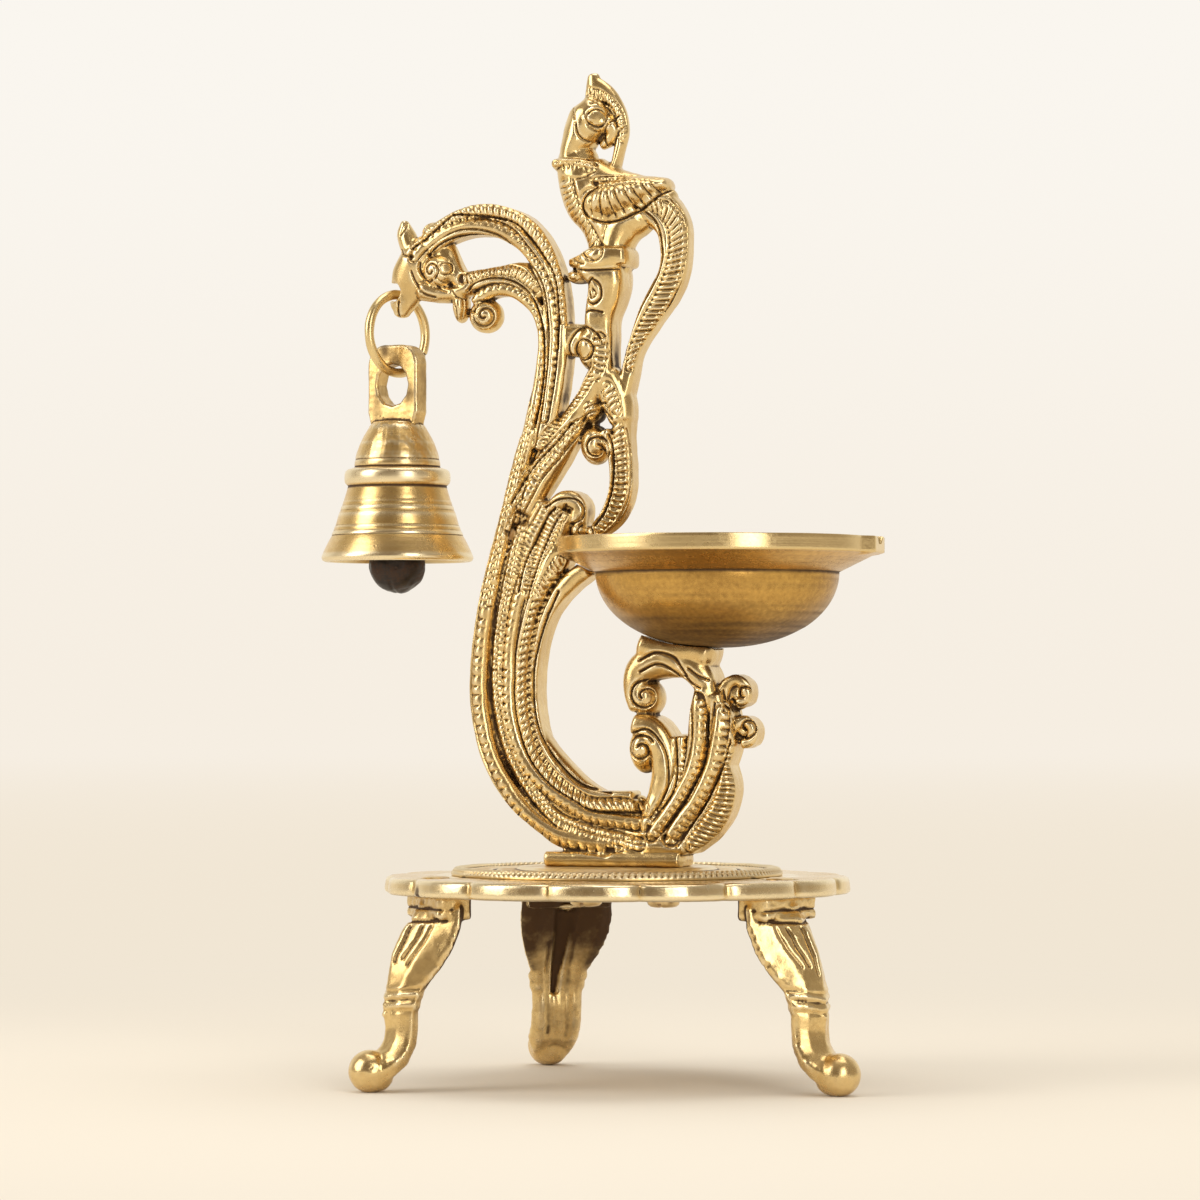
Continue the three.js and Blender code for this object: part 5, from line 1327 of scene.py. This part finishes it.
def makeLeg(side):
    piece = copyOf("leg_" + side, "cabriole_leg_" + side)
    floorHeight, ceiling = pointsOf(piece)[:, 2].min(), pointsOf(piece)[:, 2].max()
    direction = math.radians(leg["turns"][side])
    east, north = math.cos(direction), math.sin(direction)
    toeOut, toeRadius, toeHeight = leg["toe"]
    toe = leg["reach"] + toeOut
    bpy.ops.mesh.primitive_uv_sphere_add(
        segments=32, ring_count=20, radius=toeRadius * mm,
        location=(standX + toe * east * mm, standY + toe * north * mm, floorHeight + toeHeight * mm))
    knob = np.array(bpy.context.object.location)
    ball = settled()
    only(piece, ball)
    bpy.ops.object.join()
    remesh(piece, leg["blank"])
    relax(piece, leg["blankRounds"])
    # the toe is pulled onto the ball
    places = pointsOf(piece) + normalsOf(piece) * leg["grow"] * mm
    away = places - knob
    out = (places[:, :2] - (standX, standY)) @ (east, north) / mm - leg["reach"]
    pulled = np.minimum(1, toeRadius * mm / np.linalg.norm(away, axis=1)) - 1
    movePoints(piece, knob + away * (1 + pulled * smoothStep(toeOut - 5, toeOut - 1, out))[:, None])
    remesh(piece, leg["fine"] * coarser)
    relax(piece, leg["fineRounds"])
    places, normals = surfaceOf(piece)
    outward = np.array([east, north, 0])
    aside = np.array([-north, east, 0])
    across, up = (places - np.array([standX, standY, discTop])) @ aside / mm, heightOf(places[:, 2])
    facing = smoothStep(-0.1, 0.35, normals @ outward + 0.3 * normals[:, 2])
    inner = smoothStep(0.15, 0.5, -normals @ outward)
    spots = np.stack([across, up], 1)
    cut = relief(spots, legStrokes) * facing + relief(spots, legTroughs) * inner
    length, seed, depth = leg["hammer"]
    hammered = smoothStep(0.3, 0.9, unevenness(places, length, seed)) * depth
    cut -= hammered * facing * smoothStep(-13, -11.5, up)
    cut += leg["rough"] * unevenness(places, leg["roughLength"], 12) - leg["rough"]
    places += normals * cut[:, None] * mm
    places[:, 2] = places[:, 2].clip(floorHeight, ceiling)
    movePoints(piece, places)
    relax(piece, 1, 0)
    ageAndShadeSurface(piece, *leg["ageShade"])
    # painted shade inside the leg, less of it at the foot, and painted shadow at the leg's top under the
    # plate
    paintedShade = inner * (0.4 + 0.1 * unevenness(places, 6, 19) + 0.45 * smoothStep(-32, -14, up))
    paintedShade *= 0.3 + 0.7 * smoothStep(-50, -42, up)
    paintedShade += 0.35 * smoothStep(-16, -9, up)
    darkenBy(piece, paintedShade)
    modify(piece, "DECIMATE", ratio=leg["kept"])
    finishPiece(piece, "stand", "leg_brass", "leg_" + side)


# Screws, washers and rivets

fastener = {"screw": 2.2, "head": 4, "headHeight": 2.4, "slotWidth": 1, "slotDepth": 1.1, "slotLength": 20,
            "pitch": 0.7, "threadDepth": 0.25, "washer": 5.2, "washerRoom": 0.3, "rivet": 2, "rivetHead": 3.4,
            "hammer": (2.5, 9, 0.06)}


# A screwdriver's slot between two heights.
def cutSlot(piece, x, y, low, high):
    bpy.ops.mesh.primitive_cube_add(size=1, location=(x, y, (low + high) / 2))
    bpy.context.object.scale = (fastener["slotWidth"] * mm, fastener["slotLength"] * mm, high - low)
    cutAway(piece, settled(), "EXACT")


def finishFastener(piece, node, angle=35):
    ageEvenly(piece)
    finishPiece(piece, "stand", "fastener_brass", node, angle)


def makeFasteners():
    r, h = fastener["screw"], fastener["head"]
    slot = fastener["slotDepth"] * mm
    for side in ("left", "right"):
        z, top, x, y = standing("stem_screw_" + side)
        seat = z + fastener["headHeight"]
        head = [(0, z), (h * 0.55, z), (h * 0.8, z + 0.2), (h * 0.96, z + 0.7), (h, z + 1.2), (h, seat - 0.2),
                (h - 0.2, seat), (r, seat)]
        threads = []
        level = seat + 1
        while level < top - 1.6:
            threads += [(r, level), (r - fastener["threadDepth"], level + fastener["pitch"] / 2)]
            level += fastener["pitch"]
        shank = threads + [(r, top - 1.2), (0.5, top), (0, top)]
        piece = turnedPiece("screw_" + side, head + shank, 40, x, y)
        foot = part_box("stem_screw_" + side)[0].z
        cutSlot(piece, x, y, foot - mm, foot + slot)
        finishFastener(piece, "stem_screw_" + side)
        a, b, _, _ = standing("stem_washer_" + side)
        hole, w = r + fastener["washerRoom"], fastener["washer"]
        ring = [(hole, a), (w - 0.3, a), (w, a + 0.25), (w, b - 0.15), (w - 0.15, b), (hole, b), (hole, a)]
        finishFastener(turnedPiece("washer_" + side, ring, 48, x, y), "stem_washer_" + side)
    for side in leg["turns"]:
        a, b, x, y = standing("leg_rivet_" + side)
        body, w = fastener["rivet"], fastener["rivetHead"]
        shape = [(0, a), (body - 0.2, a), (body, a + 0.2), (body, b - 2), (w, b - 0.55), (w - 0.1, b - 0.35),
                 (w * 0.75, b - 0.12), (w * 0.4, b - 0.02), (0, b)]
        piece = turnedPiece("rivet_" + side, shape, 36, x, y)
        places = placesOf(piece)
        onHead = places[:, 2] > discTop + (b - 0.5) * mm
        places[:, 2] -= onHead * dents(places, fastener["hammer"]) * mm
        movePoints(piece, places)
        finishFastener(piece, "leg_rivet_" + side, 40)
    a, b, x, y = standing("bowl_screw")
    shape = [(0, a), (r, a + 1), (r, b - 2.05), (h, b - 2.05), (h, b - 1.5), (h * 0.93, b - 0.85),
             (h * 0.7, b - 0.35), (h * 0.4, b - 0.08), (0, b)]
    piece = turnedPiece("bowl_fixing_screw", shape, 40, x, y)
    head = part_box("bowl_screw")[1].z
    cutSlot(piece, x, y, head - slot, head + mm)
    finishFastener(piece, "bowl_screw")


# The oil bowl

bowl = {
    "rim": 39.3, "rimHeight": 4.1, "cone": 4.5, "cup": 30, "depth": 18.6, "wall": 2.4, "lift": 1.2,
    "spoutLength": 1.9, "spoutAngle": 11, "channelWidth": 3.4, "channelDepth": 2, "steps": 384,
    "ageShade": (2, 14, 10, 0.6, 0.15), "dents": (22, 6, 0.05), "streaks": (9, 44, 0.07), "dark": 0.42,
}


def cupLine(radius, bottom, depth, count):
    return [(radius * math.sin(t) ** 0.9, bottom + depth * (1 - math.cos(t)))
            for t in np.linspace(0, math.pi / 2, count)]


def makeBowl():
    top, rim, wall = heightOf(bowlHigh.z), bowl["rim"], bowl["wall"]
    coneTop = top - bowl["rimHeight"]
    bottom = coneTop - bowl["cone"] - bowl["depth"]
    outer = cupLine(bowl["cup"], bottom, bowl["depth"], 34)
    outer += finer([outer[-1], (rim - 0.5, coneTop - 0.1)], 0.7)[1:]
    outer += [(rim - 0.12, coneTop + 0.05), (rim, coneTop + 0.35)]
    outer += finer([outer[-1], (rim, top - 0.35)], 0.5)[1:] + [(rim, top - 0.35), (rim - 0.12, top - 0.08),
                                                               (rim - 0.4, top)]
    inner = [(rim - wall + 0.4, top), (rim - wall + 0.1, top - 0.12), (rim - wall, top - 0.5),
             (rim - wall, top - 1.6), (rim - wall, top - 2.6), (rim - wall - 0.3, coneTop + bowl["lift"])]
    cup = cupLine(bowl["cup"] - wall, bottom + wall, bowl["depth"] - bowl["lift"], 30)
    inner += finer([inner[-1], cup[-1]], 1)[1:] + cup[::-1][1:]
    piece = turnedPiece("turned_bowl", outer + inner, round(bowl["steps"] / coarser), bowlX, bowlY)
    places = placesOf(piece)
    x, y = (places[:, 0] - bowlX) / mm, (places[:, 1] - bowlY) / mm
    up = heightOf(places[:, 2])
    radius, angle = np.hypot(x, y), np.arctan2(y, x)
    # the rim drawn out into a spout, with a channel for the wick
    half = math.radians(bowl["spoutAngle"])
    tip = rim + bowl["spoutLength"]
    onSpout = 1 - smoothStep(0.55 * half, 1.05 * half, np.abs(angle))
    onRim = smoothStep(coneTop - 1.6, coneTop + 0.1, up) * (radius > rim - 0.5 * wall)
    stretch = 1 + (tip / np.cos(angle.clip(-half, half)) - rim) / rim * onSpout * onRim
    channel = 1 - smoothStep(bowl["channelWidth"] / 2 - 0.6, bowl["channelWidth"] / 2 + 0.8, np.abs(y))
    channel *= (x > 0) & (radius > rim - wall - 0.6)
    places[:, 0] = (bowlX + x * stretch * mm).clip(None, bowlHigh.x)
    places[:, 1] = bowlY + y * stretch * mm
    lowered = np.minimum(up, top - bowl["channelDepth"])
    places[:, 2] = discTop + (up + (lowered - up) * channel) * mm
    places[:, 2] -= dents(places, bowl["dents"]) * (up > bottom + 5) * mm
    movePoints(piece, places)
    ageAndShadeSurface(piece, *bowl["ageShade"])
    # painted dark reflection in streaks round the cup, painted shade making it darker towards the bottom, and
    # a bright rim
    length, seed, share = bowl["streaks"]
    streaks = unevenness(np.stack([places[:, 2] * 9, radius * mm * 9, angle * mm * 6], 1), length, seed)
    dark = bowl["dark"] + share * streaks
    dark = dark + 0.25 * smoothStep(bottom + 14, bottom + 2, up) * (radius < bowl["cup"])
    darkenTo(piece, dark * (up < coneTop + 0.2))
    setValue(piece, "worn", np.maximum(valueOf(piece, "worn"), 0.95 * (up > coneTop + 0.2)))
    finishPiece(piece, "stand", "bowl_brass", "oil_bowl", 40)


# The ring, the bell and its clapper

hang = {"turn": -26, "ring": 9.8, "wire": 1.25, "seamAt": -0.5, "seamWidth": 0.22, "seamDepth": 0.4,
        "flats": (6, 2, 0.05), "eye": 2.6, "stapleWire": 0.9, "staple": 3.2, "room": 0.3, "rod": 1.1,
        "ball": 7.5, "lumps": [(7, 41, 0.22), (2.4, 42, 0.07)], "ballSeam": (0.4, 0.25)}  # width and depth
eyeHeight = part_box("clapper_rod")[1].z - (hang["eye"] + hang["stapleWire"]) * mm
stapleHeight = eyeHeight + (hang["eye"] - 2 * hang["stapleWire"] - hang["room"] + hang["staple"]) * mm


# An upright hoop, turned about the upright axis, with its points round the hoop and round the wire.
def makeHoop(name, radius, wire, degrees, place, around, section):
    bpy.ops.object.select_all(action="DESELECT")
    bpy.ops.mesh.primitive_torus_add(
        major_segments=around, minor_segments=section, major_radius=radius * mm, minor_radius=wire * mm,
        location=place, rotation=(math.pi / 2, 0, math.radians(degrees)))
    return settled(name)


def makeRing():
    centre = middleOf("bell_ring")
    hoop = makeHoop("hanging_ring", hang["ring"], hang["wire"], hang["turn"] + 90, centre, 128, 20)
    places, normals = surfaceOf(hoop)
    rel = places - np.array(centre)
    plane = math.radians(hang["turn"] + 90)
    angle = np.arctan2(rel[:, 2], rel @ np.array([math.cos(plane), math.sin(plane), 0]))
    seam = swell((angle - hang["seamAt"]) * hang["ring"], hang["seamWidth"])
    flats = dents(places, hang["flats"]) + hang["seamDepth"] * seam
    movePoints(hoop, places - normals * flats[:, None] * mm)
    setValue(hoop, "grimeAndShade", (0.9 * seam + 0.2 * smoothStep(0.8, 1, np.abs(np.sin(angle)))).clip(0, 1))
    setValue(hoop, "worn", np.full(len(places), 0.4))
    finishPiece(hoop, "ring", "ring_brass", "bell_ring")


bell = {
    "outside": [(17, 75.72), (18.2, 75.7), (18.8, 76), (19.1, 76.6), (19.0, 77.2), (18.6, 78.1), (18.1, 79.2),
                (17.7, 80), (17.2, 81), (16.7, 81.9)],
    "bands": [(16.45, 82.3), (16.5, 82.6), (16.25, 83.2), (16, 83.5), (15.75, 84.5), (15.5, 84.8),
              (15.45, 85.1), (14.8, 87.6), (14.3, 88.6), (14.3, 88.9), (14.1, 89.5), (13.85, 89.8),
              (13.6, 90.8), (13.4, 91.1), (13.35, 91.4), (12.85, 93), (12.45, 94.4), (12.4, 94.7), (12.7, 95),
              (13.1, 95.4), (13.3, 96), (13.3, 97.6), (13.1, 98.3), (12.6, 98.8), (11.6, 99.1), (10.9, 99.3),
              (10.75, 99.6), (10.85, 99.9), (10.7, 101), (10.5, 101.3), (10.55, 101.8), (10.3, 102.9),
              (10, 103.8), (9.4, 105.5), (8.5, 107.2), (7.7, 108.6)],
    "crown": [(7, 109.8), (6, 110.7), (3, 111.1), (0, 111.2)],
    "inside": [(0, 107.9), (3, 107.9), (5.4, 107.4), (8.4, 101.7), (10.6, 97.3), (11.4, 91.3), (14, 82.3),
               (16.4, 78.4), (16.9, 76.6), (17, 75.72)],
    "steps": 224, "ageShade": (1.4, 12, 8, 0.1), "dents": [(7, 14, 0.04), (1.6, 15, 0.05)],
    "stains": (9, 21, 0.35), "loopFrom": 108.6, "loopCell": 0.3, "loopRounds": 6,
    "loopRough": [(5.2, 17, 0.05), (1.3, 18, 0.02)], "loopAgeShade": (1, 9, 10, 0.14),
}


def makeBell():
    profile = finer(bell["outside"] + bell["bands"] + bell["crown"], 0.9) + finer(bell["inside"], 1.2)
    piece = turnedPiece("bell_shell", profile, round(bell["steps"] / coarser), bellX, bellY)
    places = placesOf(piece)
    up = heightOf(places[:, 2])
    rel = places[:, :2] - np.array([bellX, bellY])
    outside = np.hypot(*rel.T) / mm > 6
    broad, fine = [dents(places, kind) for kind in bell["dents"]]
    dent = broad + fine * smoothStep(97, 108, up)  # the fine ones on the shoulder
    length = np.hypot(*rel.T).clip(1e-6)
    places[:, :2] -= rel / length[:, None] * (dent * outside)[:, None] * mm
    movePoints(piece, places)
    ageAndShadeSurface(piece, *bell["ageShade"])
    length, seed, dark = bell["stains"]
    darkenTo(piece, smoothStep(0.1, 0.9, unevenness(places, length, seed)) * smoothStep(94, 108, up) * dark)
    finishPiece(piece, "bell", "bell_brass", "bell", 40)

    loop = copyOf("bell", "bell_loop")
    openAll(loop)
    bisectAt(bell["loopFrom"], clear_inner=True)
    closeEdit()
    remesh(loop, bell["loopCell"] * coarser)
    relax(loop, bell["loopRounds"])
    places, normals = surfaceOf(loop)
    rough = sum(unevenness(places, length, seed) * height for length, seed, height in bell["loopRough"])
    movePoints(loop, places + normals * (rough - 0.05)[:, None] * mm)
    ageAndShadeSurface(loop, *bell["loopAgeShade"])
    # painted shade all over the loop, uneven
    darkenTo(loop, 0.4 + 0.2 * unevenness(places, 6, 23))
    finishPiece(loop, "bell", "bell_brass", "bell")

    staple = makeHoop("bell_staple", hang["staple"], hang["stapleWire"], hang["turn"] + 90,
                      (bellX, bellY, stapleHeight), 48, 12)
    ageEvenly(staple, 0.6)
    finishPiece(staple, "bell", "bell_brass", "bell")


def makeClapper():
    eye = makeHoop("clapper_eye", hang["eye"], hang["stapleWire"], hang["turn"],
                   (bellX, bellY, eyeHeight), 40, 10)
    low, high, r = standing("clapper_rod")[0], heightOf(eyeHeight) - hang["eye"], hang["rod"]
    profile = [(0, low), (r - 0.1, low), (r, low + 0.2), (r, high - 0.4), (r * 0.7, high), (0, high)]
    rod = turnedPiece("clapper_wire", finer(profile, 1.5), 20, bellX, bellY)
    centre = np.array(middleOf("clapper_ball"))
    bpy.ops.object.select_all(action="DESELECT")
    bpy.ops.mesh.primitive_uv_sphere_add(segments=72, ring_count=44, radius=hang["ball"] * mm,
                                         location=centre)
    ball = settled("clapper_weight")
    places = placesOf(ball)
    rel = places - centre
    width, depth = hang["ballSeam"]
    seam = depth * swell(rel[:, 0] / mm, width)
    lump = dents(places, *hang["lumps"])
    movePoints(ball, centre + rel * (1 - (lump + seam) / hang["ball"])[:, None])
    for piece, node, angle in ((eye, "clapper_rod", None), (rod, "clapper_rod", 40),
                               (ball, "clapper_ball", None)):
        ageEvenly(piece, 0.4)
        finishPiece(piece, "clapper", "clapper_iron", node, angle)


# The floor, the world and the lamps

studio = {
    "floorSize": 60, "near": (0.13, 0.5), "far": (0.5, 7.0),  # metres over which lit floor becomes backdrop
    "floor": (0.76, 0.69, 0.58), "backdropNear": (0.879, 0.791, 0.658), "backdropFar": (0.922, 0.855, 0.76),
    "skyLow": (0.922, 0.855, 0.76), "skyHigh": (0.956, 0.921, 0.863), "skyRise": (-0.01, 0.14),
    "aside": (0.42, 0.36, 0.29), "behindCamera": (0.20, 0.15, 0.10), "fill": 0.8, "fillTone": (1, 0.98, 0.95),
    "lampTone": (1, 0.985, 0.96), "aim": 60,
    "lamps": [
        {"place": (-0.95, -0.75, 0.7), "size": (0.7, 1.1), "glow": 3.1},
        {"place": (0.8, -0.95, 0.5), "size": (0.42, 1.0), "glow": 3.6},
        {"place": (0.1, 0.1, 1.25), "size": (0.9, 0.7), "glow": 2.2},
    ],
}


# 1 where the camera, a reflection or glass looks at it, 0 where it lights.
def seenDirectly(tree, path):
    return mathNode(tree, "MAXIMUM", path["Is Camera Ray"],
                    mathNode(tree, "MAXIMUM", path["Is Glossy Ray"], path["Is Transmission Ray"]))


def makeFloor():
    bpy.ops.object.select_all(action="DESELECT")
    bpy.ops.mesh.primitive_circle_add(vertices=96, radius=studio["floorSize"], fill_type="NGON",
                                      location=(standX, standY, 0))
    ground = settled("floor")
    material = bpy.data.materials.new("floor")
    material.use_nodes = True
    tree = material.node_tree
    tree.nodes.clear()
    away = vectorMath(tree, "LENGTH", "Value", put(tree, "TexCoord").outputs["Object"])
    tone = blend(tree, ramp(tree, away, *studio["far"]), studio["backdropNear"], studio["backdropFar"])
    glow = put(tree, "Emission", {"Color": tone, "Strength": 1.0}).outputs[0]
    lit = put(tree, "BsdfDiffuse", {"Color": (*studio["floor"], 1)}).outputs[0]
    both = put(tree, "MixShader", {0: ramp(tree, away, *studio["near"]), 1: lit, 2: glow}).outputs[0]
    seen = seenDirectly(tree, put(tree, "LightPath").outputs)
    last = put(tree, "MixShader", {0: seen, 1: lit, 2: both})
    put(tree, "OutputMaterial", {"Surface": last.outputs[0]})
    ground.data.materials.append(material)


def makeWorld():
    world = bpy.data.worlds.new("studio")
    bpy.context.scene.world = world
    world.use_nodes = True
    tree = world.node_tree
    tree.nodes.clear()
    toward = put(tree, "TexCoord").outputs["Generated"]
    rise = put(tree, "SeparateXYZ", {0: toward}).outputs[2]
    sky = blend(tree, ramp(tree, rise, *studio["skyRise"]), studio["skyLow"], studio["skyHigh"])
    ahead = vectorMath(tree, "DOT_PRODUCT", "Value", toward, (math.sin(turn), -math.cos(turn), 0.12))
    path = put(tree, "LightPath").outputs
    aside = blend(tree, ramp(tree, ahead, -0.75, -0.1), sky, studio["aside"])
    mirrored = blend(tree, ramp(tree, ahead, 0.3, 0.9), aside, studio["behindCamera"])
    shownTone = blend(tree, path["Is Camera Ray"], mirrored, sky)
    shown = put(tree, "Background", {"Color": shownTone, "Strength": 1.0})
    fill = put(tree, "Background", {"Color": (*studio["fillTone"], 1), "Strength": studio["fill"]})
    last = put(tree, "MixShader", {0: seenDirectly(tree, path), 1: fill.outputs[0], 2: shown.outputs[0]})
    put(tree, "OutputWorld", {"Surface": last.outputs[0]})


def makeLamps():
    target = Vector((standX, standY, discTop + studio["aim"] * mm))
    for number, lamp in enumerate(studio["lamps"]):
        light = bpy.data.lights.new(f"softbox_{number}", "AREA")
        light.shape = "RECTANGLE"
        light.size, light.size_y = lamp["size"]
        light.energy = lamp["glow"] * math.pi * lamp["size"][0] * lamp["size"][1]
        light.color = studio["lampTone"]
        box = linked(bpy.data.objects.new(light.name, light))
        box.location = lamp["place"]
        box.rotation_euler = (target - box.location).to_track_quat("-Z", "Y").to_euler()


makeCasting()
makePlate()
makeDisc()
for side in leg["turns"]:
    makeLeg(side)
makeFasteners()
makeBowl()
makeRing()
makeBell()
makeClapper()
makeFloor()
makeWorld()
makeLamps()
bpy.context.scene.view_settings.view_transform = "Standard"
print("studio set")
